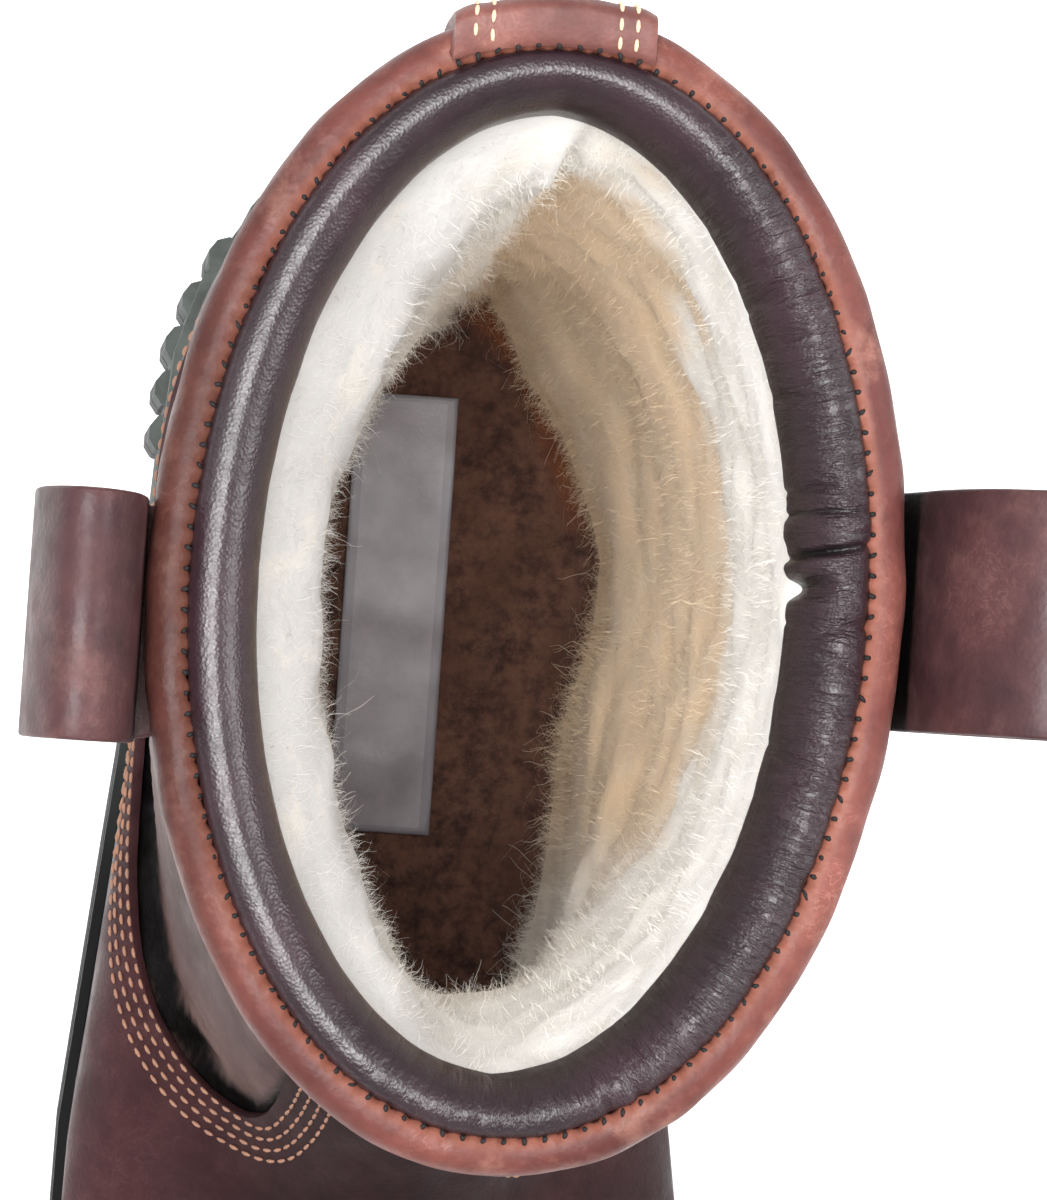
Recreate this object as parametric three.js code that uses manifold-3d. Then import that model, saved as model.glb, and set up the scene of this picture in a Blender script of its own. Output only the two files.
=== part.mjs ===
// A pull-on outdoor boot for the right foot, with a pile lining, a padded collar and two pull loops.
// Millimetres. +Y points to the heel, -Y to the toe, +X to the inner side of the foot, +Z up.
// The origin is on the ground, under the centre of the heel.
import * as THREE from "three";
import { mergeVertices } from "three/addons/utils/BufferGeometryUtils.js";
import Module from "manifold-3d";

const wasm = await Module();
wasm.setup();

// Sole
const soleLength = 312;
const ballWidth = 112.4;
const heelOverhang = 42;
const heelSeat = 38;
const ballSeat = 25;
const toeSpring = 9;
const archHeight = 12;
const heelTread = 15;
const ballTread = 9;
const lugDepth = 5;
const lugPitch = 15;
const grooveWidth = 5.5;
const treadSpine = 15;
const cupWall = 9;
const cupStep = 1;
const sideGroove = 1.2;
const sideGrooveHeight = 3;
const ribRadius = 3.7;
const ribProud = 2.2;
const ribPitch = 8.2;
const ribCount = 6;

// Upper
const throatHeight = 150;
const shaftTop = 264;
const collarCentre = 83;
const collarLength = 160;
const collarWidth = 103.8;
const soleLedge = 4.4;
const upperWall = 2.2;
const vampLeather = 1.8;
const lastingMargin = 14;
const ankleBulge = 1.4;
const clearance = 0.3;

// Inside
const pile = 8.5;
const insoleThickness = 6;

// Collar
const bindingWidth = 5.8;
const bindingProud = 0.8;
const bindingCrown = 8;
const bindingSkirt = 6;
const padSideWidth = 9.2;
const padEndWidth = 7.3;
const padDepth = 22;
const padRise = 2;

// Straps
const stayWidth = 28;
const stayLeather = 1.8;
const stayOffset = -2;
const stayLap = 3.5;
const loopWidth = 34;
const loopLeather = 2.8;
const loopRise = 24;
const loopDrop = 24;
const loopTail = 26;
const outerLoop = { side: -1, place: 90.5, reach: 17, lean: 0 };
const innerLoop = { side: 1, place: 81.5, reach: 23, lean: 6 };

// Mesh fineness: section lines over the leg, the back of the heel, the heel seat, the arch and the
// forefoot, and points down each side.
const legLines = 5;
const heelLines = 6;
const seatLines = 3;
const archLines = 3;
const forefootLines = 8;
const sidePoints = 12;

// Half widths of the sole's edge along the sole, from the back of the heel, as shares of the ball width.
const soleSides = [
  { at: 0.0, outer: 0.388, inner: 0.38 },
  { at: 0.15, outer: 0.404, inner: 0.376 },
  { at: 0.3, outer: 0.426, inner: 0.366 },
  { at: 0.42, outer: 0.454, inner: 0.38 },
  { at: 0.5, outer: 0.474, inner: 0.42 },
  { at: 0.575, outer: 0.492, inner: 0.461 },
  { at: 0.63, outer: 0.494, inner: 0.486 },
  { at: 0.72, outer: 0.478, inner: 0.506 },
  { at: 0.85, outer: 0.42, inner: 0.49 },
  { at: 1.0, outer: 0.33, inner: 0.43 },
];
const heelRound = { length: 0.155, power: 2.25 };
const toeRound = { length: 0.245, power: 2.2 };

// Heights along the sole, each as a share of the size that it follows.
const seatLine = [
  { at: -0.1, up: 1 },
  { at: 0.16, up: 1 },
  { at: 0.32, up: 0.62 },
  { at: 0.46, up: 0.2 },
  { at: 0.58, up: 0 },
  { at: 1.1, up: 0 },
];
const springLine = [
  { at: -0.1, up: 0 },
  { at: 0.68, up: 0 },
  { at: 0.84, up: 0.3 },
  { at: 1, up: 1 },
  { at: 1.1, up: 1.5 },
];
const archLine = [
  { at: -0.1, up: 0 },
  { at: 0.238, up: 0 },
  { at: 0.252, up: 1 },
  { at: 0.31, up: 0.86 },
  { at: 0.36, up: 0.42 },
  { at: 0.41, up: 0 },
  { at: 1.1, up: 0 },
];
const treadLine = [
  { at: -0.1, up: 1 },
  { at: 0.2, up: 1 },
  { at: 0.41, up: 0 },
  { at: 1.1, up: 0 },
];
const treadZones = [
  { from: 0.045, to: 0.215 },
  { from: 0.42, to: 0.96 },
];

// Side outline of the foot: heights as shares of the throat height, front and back of the sole length.
const footOutline = [
  { up: 0.0, front: 0.9865, back: 0.0135 },
  { up: 0.3, front: 0.9855, back: 0.0122 },
  { up: 0.387, front: 0.977, back: 0.0103 },
  { up: 0.453, front: 0.957, back: 0.0109 },
  { up: 0.52, front: 0.922, back: 0.0135 },
  { up: 0.573, front: 0.862, back: 0.0167 },
  { up: 0.613, front: 0.786, back: 0.0199 },
  { up: 0.647, front: 0.718, back: 0.0224 },
  { up: 0.687, front: 0.6538, back: 0.025 },
  { up: 0.733, front: 0.609, back: 0.0282 },
  { up: 0.793, front: 0.5705, back: 0.0308 },
  { up: 0.867, front: 0.5401, back: 0.032 },
];

// Side outline of the leg, from the throat (0) to the top of the shaft (1): front and back as shares of
// the collar length from the collar's centre.
const legOutline = [
  { up: 0.0, front: 0.481, back: -0.456 },
  { up: 0.22, front: 0.463, back: -0.466 },
  { up: 0.48, front: 0.47, back: -0.481 },
  { up: 0.79, front: 0.489, back: -0.496 },
  { up: 1.0, front: 0.5, back: -0.5 },
  { up: 1.25, front: 0.506, back: -0.503 },
];

// How a level closes in plan. The lengths of its roundings are shares of the level's own length, half is
// a share of half the collar width, and foot tells how far the level keeps to the outline of the foot.
const footRounding = [
  { up: 0.0, frontRound: 0.245, frontPower: 2.2, backRound: 0.155, backPower: 2.25, half: 0.9, foot: 1 },
  { up: 0.3, frontRound: 0.245, frontPower: 2.2, backRound: 0.155, backPower: 2.25, half: 0.9, foot: 1 },
  { up: 0.52, frontRound: 0.33, frontPower: 1.95, backRound: 0.17, backPower: 2.2, half: 0.92, foot: 1 },
  { up: 0.613, frontRound: 0.5, frontPower: 1.78, backRound: 0.22, backPower: 2.2, half: 0.93, foot: 0.8 },
  { up: 0.693, frontRound: 0.61, frontPower: 1.62, backRound: 0.3, backPower: 2.15, half: 0.93, foot: 0.45 },
  { up: 0.787, frontRound: 0.6, frontPower: 1.76, backRound: 0.38, backPower: 2.1, half: 0.925, foot: 0.2 },
  { up: 0.867, frontRound: 0.56, frontPower: 1.9, backRound: 0.44, backPower: 2.1, half: 0.92, foot: 0.05 },
];
const legRounding = [
  { up: 0.0, frontRound: 0.5, frontPower: 2.0, backRound: 0.5, backPower: 2.05, half: 0.925, foot: 0 },
  { up: 0.48, frontRound: 0.5, frontPower: 2.05, backRound: 0.5, backPower: 2.05, half: 0.956, foot: 0 },
  { up: 1.0, frontRound: 0.5, frontPower: 2.05, backRound: 0.5, backPower: 2.05, half: 1, foot: 0 },
  { up: 1.25, frontRound: 0.5, frontPower: 2.05, backRound: 0.5, backPower: 2.05, half: 1.012, foot: 0 },
];

// Upper edge of the vamp seen from the side, from the heel round the bottom of its lobe to the throat.
const vampEdge = [
  { at: -0.03, up: 0.7 },
  { at: 0.13, up: 0.693 },
  { at: 0.26, up: 0.677 },
  { at: 0.35, up: 0.66 },
  { at: 0.413, up: 0.653 },
  { at: 0.465, up: 0.659 },
  { at: 0.5, up: 0.673 },
  { at: 0.526, up: 0.693 },
  { at: 0.54, up: 0.72 },
  { at: 0.544, up: 0.755 },
  { at: 0.534, up: 0.8 },
  { at: 0.518, up: 0.867 },
  { at: 0.502, up: 0.967 },
  { at: 0.494, up: 1.04 },
  { at: 0.496, up: 1.1 },
  { at: 0.505, up: 1.13 },
  { at: 0.55, up: 1.14 },
];

// Cross sections of the pad, and of the hole through a pull loop.
const padSection = [
  { across: 0, up: 0.08 },
  { across: 0, up: 0.8 },
  { across: 0.16, up: 0.95 },
  { across: 0.48, up: 1 },
  { across: 0.84, up: 0.92 },
  { across: 1, up: 0.7 },
  { across: 0.97, up: 0.2 },
  { across: 0.7, up: 0 },
];
const loopLine = [
  { out: 0, up: 0.14 },
  { out: 0, up: 0.36 },
  { out: 0, up: 0.62 },
  { out: 0.14, up: 0.86 },
  { out: 0.5, up: 1 },
  { out: 0.87, up: 0.87 },
  { out: 1, up: 0.62 },
  { out: 0.84, up: 0.33 },
  { out: 0.45, up: 0.1 },
  { out: 0.14, up: 0.02 },
];

const mix = (a, b, share) => a + (b - a) * share;
const within = (value, low, high) => Math.min(Math.max(value, low), high);

// A smooth value at a place in a table, without overshoot between the rows.
function read(rows, key, column, at) {
  const last = rows.length - 1;
  const place = within(at, rows[0][key], rows[last][key]);
  let i = 0;
  while (i < last - 1 && place > rows[i + 1][key]) i += 1;
  const slope = (k) => (rows[k + 1][column] - rows[k][column]) / (rows[k + 1][key] - rows[k][key]);
  const tangent = (k) => {
    if (k === 0) return slope(0);
    if (k === last) return slope(last - 1);
    const before = slope(k - 1);
    const after = slope(k);
    return before * after <= 0 ? 0 : (2 * before * after) / (before + after);
  };
  const step = rows[i + 1][key] - rows[i][key];
  const t = (place - rows[i][key]) / step;
  const start = (1 - t) * (1 - t) * t * tangent(i) * step;
  const end = t * t * (t - 1) * tangent(i + 1) * step;
  return mix(rows[i][column], rows[i + 1][column], t * t * (3 - 2 * t)) + start + end;
}

// A place is given by its distance along the sole from the back of the heel, and by its height.
const yOf = (along) => heelOverhang - along;
const shareAt = (rows, along) => read(rows, "at", "up", along / soleLength);
const springAt = (along) => toeSpring * shareAt(springLine, along);
const groundAt = (along) => archHeight * shareAt(archLine, along) + springAt(along);
const seatAt = (along) => mix(ballSeat, heelSeat, shareAt(seatLine, along)) + springAt(along);
const treadAt = (along) => {
  const tread = mix(ballTread, heelTread, shareAt(treadLine, along));
  return tread + (archHeight / 2) * shareAt(archLine, along) + springAt(along);
};

// 0 at the end of an outline and 1 past the length of its rounding.
function rounding(depth, length, power) {
  const u = within(depth / length, 0, 1);
  return (1 - (1 - u) ** power) ** (1 / power);
}

// The levels of foot and leg in one table, in millimetres.
const legHeight = (up) => mix(throatHeight, shaftTop, up);
const outline = [
  ...footOutline.map((r) => ({
    z: r.up * throatHeight,
    front: r.front * soleLength,
    back: r.back * soleLength,
  })),
  ...legOutline.map((r) => ({
    z: legHeight(r.up),
    front: collarCentre + r.front * collarLength,
    back: collarCentre + r.back * collarLength,
  })),
];
const levels = [
  ...footRounding.map((r) => ({ ...r, z: r.up * throatHeight })),
  ...legRounding.map((r) => ({ ...r, z: legHeight(r.up) })),
];
const frontAt = (z) => read(outline, "z", "front", z);
const backAt = (z) => read(outline, "z", "back", z);
const levelAt = (column, z) => read(levels, "z", column, z);

// Centre and half width of the sole's outline, moved inwards by an inset.
function footAt(along, inset) {
  const share = along / soleLength;
  const outer = read(soleSides, "at", "outer", share) * ballWidth - inset;
  const inner = read(soleSides, "at", "inner", share) * ballWidth - inset;
  return { centre: (inner - outer) / 2, half: (inner + outer) / 2 };
}

// The shape of the upper: centre and half width at a place seen from the side.
function upperAt(along, z) {
  const follow = levelAt("foot", z);
  const foot = footAt(along, soleLedge);
  const bulge = ankleBulge * within((z - heelSeat) / heelSeat, 0, 1);
  const side = mix((levelAt("half", z) * collarWidth) / 2, foot.half + bulge, follow);
  const front = frontAt(z);
  const back = backAt(z);
  const closing =
    rounding(front - along, levelAt("frontRound", z) * (front - back), levelAt("frontPower", z)) *
    rounding(along - back, levelAt("backRound", z) * (front - back), levelAt("backPower", z));
  return { centre: foot.centre * follow, half: side * closing };
}

// The form runs past the seat and past the top of the shaft, where it is cut off.
const belowSeat = 20;
const aboveTop = 20;
const tipInset = 0.35;
const floorAt = (along) => seatAt(along) - belowSeat;
const isInside = (p) => p.along < frontAt(p.z) && p.along > backAt(p.z) && p.z > floorAt(p.along);

// The place where the way from an inner point to an outer one leaves the side outline.
function edgeBetween(inside, outside) {
  const at = (t) => ({ along: mix(inside.along, outside.along, t), z: mix(inside.z, outside.z, t) });
  let near = 0;
  let far = 1;
  for (let halving = 0; halving < 40; halving += 1) {
    const middle = (near + far) / 2;
    if (isInside(at(middle))) near = middle;
    else far = middle;
  }
  return at(near);
}

// The section lines seen from the side: level over the leg, fanned over the ankle, upright over the foot.
function sectionLines() {
  const pivot = { along: collarCentre + 0.775 * collarLength, z: 1.1 * throatHeight };
  const lines = [];
  for (let i = 0; i < legLines; i += 1) {
    const z = mix(shaftTop + aboveTop, pivot.z, i / legLines);
    const middle = { along: collarCentre, z };
    const end = (way) => edgeBetween(middle, { along: middle.along + way * soleLength, z });
    lines.push([end(1), end(-1)]);
  }
  const fan = (target) => {
    const far = Math.hypot(pivot.along - target.along, pivot.z - target.z);
    const share = (0.6 * collarLength) / far;
    const inside = { along: mix(pivot.along, target.along, share), z: mix(pivot.z, target.z, share) };
    lines.push([edgeBetween(inside, pivot), target]);
  };
  const corner = { along: backAt(floorAt(0)), z: floorAt(0) };
  const onBack = (z) => ({ along: backAt(z), z });
  const onFloor = (along) => ({ along, z: floorAt(along) });
  const seatEnd = mix(corner.along, pivot.along, 0.32);
  for (let i = 0; i < heelLines; i += 1) fan(onBack(mix(pivot.z, corner.z, i / heelLines)));
  for (let i = 0; i < seatLines; i += 1) fan(onFloor(mix(corner.along, seatEnd, i / seatLines)));
  for (let i = 0; i < archLines; i += 1) fan(onFloor(mix(seatEnd, pivot.along, i / archLines)));
  const toe = frontAt(0) - tipInset;
  for (let i = 0; i <= forefootLines; i += 1) {
    const along = mix(pivot.along, toe, Math.sin(((i / forefootLines) * Math.PI) / 2));
    const bottom = { along, z: floorAt(along) };
    lines.push([edgeBetween({ along, z: bottom.z + 1 }, { along, z: pivot.z }), bottom]);
  }
  return lines;
}

// One side of a section, from the front end of its line to the back end, in even steps over the surface.
// Where the line ends on the floor, the way goes on under the foot to the middle.
function sideOfSection(line, side) {
  const fine = 80;
  const points = [];
  for (let i = 0; i <= fine; i += 1) {
    const t = (1 - Math.cos((Math.PI * i) / fine)) / 2;
    const along = mix(line[0].along, line[1].along, t);
    const z = mix(line[0].z, line[1].z, t);
    const place = upperAt(along, z);
    points.push(new THREE.Vector3(place.centre + side * place.half, yOf(along), z));
  }
  const middle = (end) => new THREE.Vector3(upperAt(end.along, end.z).centre, yOf(end.along), end.z);
  points[0] = middle(line[0]);
  points.push(middle(line[1]));
  const lengths = [0];
  for (let i = 1; i < points.length; i += 1) lengths.push(lengths[i - 1] + points[i].distanceTo(points[i - 1]));
  const whole = lengths[points.length - 1];
  const spaced = [];
  for (let k = 0; k <= sidePoints; k += 1) {
    const goal = (whole * k) / sidePoints;
    let i = 1;
    while (i < points.length - 1 && lengths[i] < goal) i += 1;
    const share = within((goal - lengths[i - 1]) / (lengths[i] - lengths[i - 1]), 0, 1);
    spaced.push(points[i - 1].clone().lerp(points[i], share));
  }
  return spaced;
}

// The closed loop of points round a section.
const wholeSection = (line) => [
  ...sideOfSection(line, -1),
  ...sideOfSection(line, 1).slice(1, -1).reverse(),
];

// The form's grid: a loop of points for each section line, with the direction out of the surface.
function makeGrid() {
  const loops = sectionLines().map(wholeSection);
  const count = loops[0].length;
  const outward = loops.map((loop, i) =>
    loop.map((point, j) => {
      const before = loop[(j + count - 1) % count];
      const after = loop[(j + 1) % count];
      const next = loops[Math.min(i + 1, loops.length - 1)][j];
      const previous = loops[Math.max(i - 1, 0)][j];
      return after.clone().sub(before).cross(next.clone().sub(previous)).normalize();
    }),
  );
  const forward = new THREE.Vector3(0, -1, 0);
  outward[outward.length - 1].forEach((direction) => direction.add(forward).normalize());
  return { loops, outward };
}
const grid = makeGrid();

// A three.js geometry as a solid with its faces pointing out.
function solidOf(geometry) {
  const bare = new THREE.BufferGeometry();
  bare.setAttribute("position", geometry.getAttribute("position"));
  bare.setIndex(geometry.index);
  const merged = mergeVertices(bare, 1e-4);
  const index = merged.index.array;
  const faces = [];
  for (let i = 0; i < index.length; i += 3) {
    const [a, b, c] = [index[i], index[i + 1], index[i + 2]];
    if (a !== b && b !== c && c !== a) faces.push([a, b, c]);
  }
  const build = (triangles) =>
    new wasm.Manifold(
      new wasm.Mesh({
        numProp: 3,
        vertProperties: new Float32Array(merged.attributes.position.array),
        triVerts: new Uint32Array(triangles.flat()),
      }),
    );
  const made = build(faces);
  return made.volume() > 0 ? made : build(faces.map(([a, b, c]) => [a, c, b]));
}

// A solid through loops of points: capped at both ends, or joined into a ring.
function solidFromLoops(loops, isRing = false) {
  const count = loops[0].length;
  const positions = loops.flat().flatMap((p) => [p.x, p.y, p.z]);
  const faces = [];
  const steps = isRing ? loops.length : loops.length - 1;
  for (let i = 0; i < steps; i += 1) {
    const a = i * count;
    const b = ((i + 1) % loops.length) * count;
    for (let j = 0; j < count; j += 1) {
      const k = (j + 1) % count;
      faces.push(a + j, b + j, b + k, a + j, b + k, a + k);
    }
  }
  if (!isRing) {
    const centre = (loop) => loop.reduce((sum, p) => sum.add(p), new THREE.Vector3()).divideScalar(count);
    const caps = [centre(loops[0]), centre(loops[loops.length - 1])];
    caps.forEach((p) => positions.push(p.x, p.y, p.z));
    const first = loops.length * count;
    const end = first - count;
    for (let j = 0; j < count; j += 1) {
      const k = (j + 1) % count;
      faces.push(first, j, k, first + 1, end + k, end + j);
    }
  }
  const geometry = new THREE.BufferGeometry();
  geometry.setAttribute("position", new THREE.Float32BufferAttribute(positions, 3));
  geometry.setIndex(faces);
  return solidOf(geometry);
}

// The form, grown by a distance or shrunk by a negative one. A shrunk form ends short of the toe.
function form(distance) {
  const tip = yOf(frontAt(0)) + Math.max(0, -1.4 * distance);
  const kept = grid.loops.map((loop, i) => i).filter((i) => distance > -pile || grid.loops[i][0].y > tip);
  const move = (p, out) => p.clone().addScaledVector(out, distance);
  return solidFromLoops(kept.map((i) => grid.loops[i].map((p, j) => move(p, grid.outward[i][j]))));
}

// A shape drawn in plan and pushed up, or drawn from the side and pushed across.
const halfSpan = ballWidth;
function planSolid(points, low, high) {
  const shape = new THREE.Shape(points.map((p) => new THREE.Vector2(p.x, p.y)));
  const geometry = new THREE.ExtrudeGeometry(shape, { depth: high - low, bevelEnabled: false });
  return solidOf(geometry.translate(0, 0, low));
}
function sideSolid(points, left = -halfSpan, right = halfSpan) {
  const shape = new THREE.Shape(points.map((p) => new THREE.Vector2(yOf(p.along), p.z)));
  const geometry = new THREE.ExtrudeGeometry(shape, { depth: right - left, bevelEnabled: false });
  const turn = new THREE.Matrix4().set(0, 0, 1, left, 1, 0, 0, 0, 0, 1, 0, 0, 0, 0, 0, 1);
  return solidOf(geometry.applyMatrix4(turn));
}

// Everything between two lines that run from heel to toe, seen from the side.
const sky = () => shaftTop + 2 * aboveTop;
const below = (height) => () => height;
function between(lowLine, highLine, steps = 20) {
  const past = 30;
  const along = (i) => mix(-past, soleLength + past, i / steps);
  const points = [];
  for (let i = 0; i <= steps; i += 1) points.push({ along: along(i), z: lowLine(along(i)) });
  for (let i = steps; i >= 0; i -= 1) points.push({ along: along(i), z: highLine(along(i)) });
  return sideSolid(points);
}

// A point on the sole's outline, moved inwards by an inset, and the whole outline.
function solePoint(along, side, inset) {
  const foot = footAt(along, inset);
  const closing =
    rounding(soleLength - inset - along, toeRound.length * soleLength, toeRound.power) *
    rounding(along - inset, heelRound.length * soleLength, heelRound.power);
  return { x: foot.centre + side * foot.half * closing, y: yOf(along) };
}
function soleOutline(inset, steps = 22) {
  const along = (i) => mix(inset, soleLength - inset, (1 - Math.cos((Math.PI * i) / steps)) / 2);
  const points = [];
  for (let i = 0; i <= steps; i += 1) points.push(solePoint(along(i), -1, inset));
  for (let i = steps - 1; i > 0; i -= 1) points.push(solePoint(along(i), 1, inset));
  return points;
}
const solePrism = (inset) => planSolid(soleOutline(inset), -lugDepth, heelSeat + 2 * cupWall);

// Upright round ribs along both sides of the heel.
function heelRibs(low, high) {
  const ribs = [];
  for (let i = 0; i < ribCount; i += 1) {
    [-1, 1].forEach((side) => {
      const place = solePoint((i + 1.4) * ribPitch, side, ribRadius - ribProud);
      const rib = new THREE.CylinderGeometry(ribRadius, ribRadius, high - low, 10);
      rib.rotateX(Math.PI / 2).translate(place.x, place.y, (low + high) / 2);
      ribs.push(solidOf(rib));
    });
  }
  return ribs;
}

// Grooves that part the tread into lugs on each side of a spine, under the heel and the forefoot.
function treadGrooves() {
  const length = ballWidth / 2;
  const slant = 0.3;
  const cuts = [];
  treadZones.forEach(({ from, to }) => {
    for (let along = from * soleLength; along < to * soleLength; along += lugPitch) {
      [-1, 1].forEach((side) => {
        const height = groundAt(along) + 2 * lugDepth;
        const groove = new THREE.BoxGeometry(length, grooveWidth, height);
        groove.translate((side * (length + treadSpine)) / 2, 0, groundAt(along) + lugDepth - height / 2);
        cuts.push(solidOf(groove.rotateZ(side * slant).translate(0, yOf(along), 0)));
      });
    }
  });
  return cuts;
}

const soleSteps = 34;
const joinAll = (solid, more) => more.reduce((sum, piece) => sum.add(piece), solid);
const cutAll = (solid, cuts) => cuts.reduce((rest, piece) => rest.subtract(piece), solid);
function makeOutsole() {
  const body = solePrism(cupStep).intersect(between(groundAt, treadAt, soleSteps));
  return joinAll(cutAll(body, treadGrooves()), heelRibs(cupStep, heelTread - cupStep));
}

// The midsole carries the upper and cups its edge. A groove runs round its side, above the ribs.
function makeMidsole() {
  const cupTop = (along) => seatAt(along) + cupWall;
  const seat = (along) => seatAt(along) - clearance;
  const bottom = (along) => treadAt(along) + clearance;
  const grooveTop = (along) => seatAt(along) + cupStep;
  const grooveLow = (along) => grooveTop(along) - sideGrooveHeight;
  const ribs = heelRibs(heelTread + cupStep, heelSeat - sideGrooveHeight);
  const body = joinAll(solePrism(0).intersect(between(bottom, cupTop, soleSteps)), ribs);
  const outside = solePrism(-ribRadius).subtract(solePrism(sideGroove));
  const groove = outside.intersect(between(grooveLow, grooveTop));
  const pocket = form(2 * clearance + vampLeather).intersect(between(seat, sky));
  const fillerLow = (along) => seat(along) - cupStep;
  const fillerTop = (along) => seatAt(along) + upperWall;
  const filler = solePrism(soleLedge + lastingMargin + clearance).intersect(between(fillerLow, fillerTop));
  return cutAll(body, [groove, pocket]).add(filler);
}

// The upper is one hollow leather shell, open at the collar and underneath inside its lasting margin.
function makeUpper() {
  const hollow = form(-upperWall).intersect(between((along) => seatAt(along) + upperWall, sky));
  const body = form(0).intersect(between(seatAt, below(shaftTop - clearance)));
  return cutAll(body, [hollow, solePrism(soleLedge + lastingMargin)]);
}

// The vamp is a second leather all round the foot, with a lobe up the instep.
function vampArea(lift) {
  const edge = new THREE.SplineCurve(
    vampEdge.map((row) => new THREE.Vector2(row.at * soleLength, row.up * throatHeight)),
  );
  const points = edge.getPoints(36).map((p) => ({ along: p.x, z: p.y + lift }));
  const past = 1.2 * soleLength;
  points.push({ along: past, z: points[points.length - 1].z }, { along: past, z: 0 });
  points.push({ along: points[0].along, z: 0 });
  return sideSolid(points);
}
function makeVamp() {
  const layer = form(clearance + vampLeather).subtract(form(clearance));
  return layer.intersect(vampArea(0)).intersect(between(seatAt, sky));
}

// The inner sole lies on the lasting margin, and the pile lining stands on it.
const insoleLow = (along) => seatAt(along) + upperWall + clearance;
const insoleTop = (along) => insoleLow(along) + insoleThickness;
const bindingTop = shaftTop + bindingCrown;
const padTop = bindingTop + padRise;
const padLow = padTop - padDepth;
const insideWall = form(-upperWall - clearance);
const makeInsole = () => insideWall.intersect(between(insoleLow, insoleTop));
function makeLining() {
  const space = form(-upperWall - clearance - pile);
  const bottom = (along) => insoleTop(along) + clearance;
  return insideWall.subtract(space).intersect(between(bottom, below(padLow - clearance)));
}

// A ring round the collar from rows that give a height and a distance out of the shaft's surface.
function collarRing(rows) {
  const loops = rows.map((row) => {
    const points = wholeSection([
      { along: frontAt(row.z), z: row.z },
      { along: backAt(row.z), z: row.z },
    ]);
    return points.map((point, j) => {
      const after = points[(j + 1) % points.length];
      const before = points[(j + points.length - 1) % points.length];
      const outward = new THREE.Vector3(before.y - after.y, after.x - before.x, 0).normalize();
      return point.clone().addScaledVector(outward, row.out(outward));
    });
  });
  return solidFromLoops(loops, true);
}

// The turned leather edge sits on the shaft's wall and folds down inside it.
const bindingInside = bindingProud - bindingWidth;
function makeBinding() {
  const bevel = bindingWidth / 4;
  const rows = [
    { out: bindingProud, z: shaftTop },
    { out: bindingProud, z: bindingTop - 2 * bevel },
    { out: bindingProud - bevel, z: bindingTop - bevel / 3 },
    { out: bindingProud - 2 * bevel, z: bindingTop },
    { out: bindingInside + bevel, z: bindingTop - bevel / 3 },
    { out: bindingInside, z: bindingTop - 2 * bevel },
    { out: bindingInside, z: shaftTop - bindingSkirt },
    { out: -upperWall - clearance, z: shaftTop - bindingSkirt },
    { out: -upperWall - clearance, z: shaftTop },
  ];
  return collarRing(rows.map((row) => ({ z: row.z, out: () => row.out })));
}

// The collar pad lies inside the edge, wider at its sides than at front and back.
function makePad() {
  const start = bindingInside - clearance;
  const width = (outward) => mix(padEndWidth, padSideWidth, Math.abs(outward.x));
  const rows = padSection.map((row) => ({
    z: mix(padLow, padTop, row.up),
    out: (outward) => start - row.across * width(outward),
  }));
  return collarRing(rows);
}

// The back stay runs from the midsole over the vamp and up the shaft, and hooks over the turned edge.
function makeBackStay() {
  const left = stayOffset - stayWidth / 2;
  const behind = [
    { along: -halfSpan, z: 0 },
    { along: collarCentre, z: 0 },
    { along: collarCentre, z: sky() },
    { along: -halfSpan, z: sky() },
  ];
  const band = sideSolid(behind, left, left + stayWidth);
  const slab = (low, high) => between(below(low), below(high));
  const layer = (start) => form(start + stayLeather).subtract(form(start));
  const overVamp = 2 * clearance + vampLeather;
  const overEdge = bindingProud + clearance;
  const hookFoot = shaftTop - bindingSkirt;
  const hookTop = bindingTop + clearance + stayLeather;
  const cupTop = (along) => seatAt(along) + cupWall + clearance;
  const onVamp = layer(overVamp).intersect(vampArea(stayLap)).intersect(between(cupTop, sky));
  const lap = form(overVamp + stayLeather).subtract(form(clearance));
  const onLap = lap.intersect(vampArea(stayLap)).subtract(vampArea(clearance));
  const onShaft = layer(clearance).subtract(vampArea(clearance)).intersect(slab(0, hookFoot + stayLap));
  const hook = cutAll(form(overEdge + stayLeather).intersect(slab(hookFoot, hookTop)), [
    form(overEdge).intersect(slab(hookFoot + stayLap, hookTop - stayLeather)),
    form(clearance).intersect(slab(0, shaftTop)),
    form(bindingInside),
  ]);
  return joinAll(onVamp, [onLap, onShaft, hook]).intersect(band);
}

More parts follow.
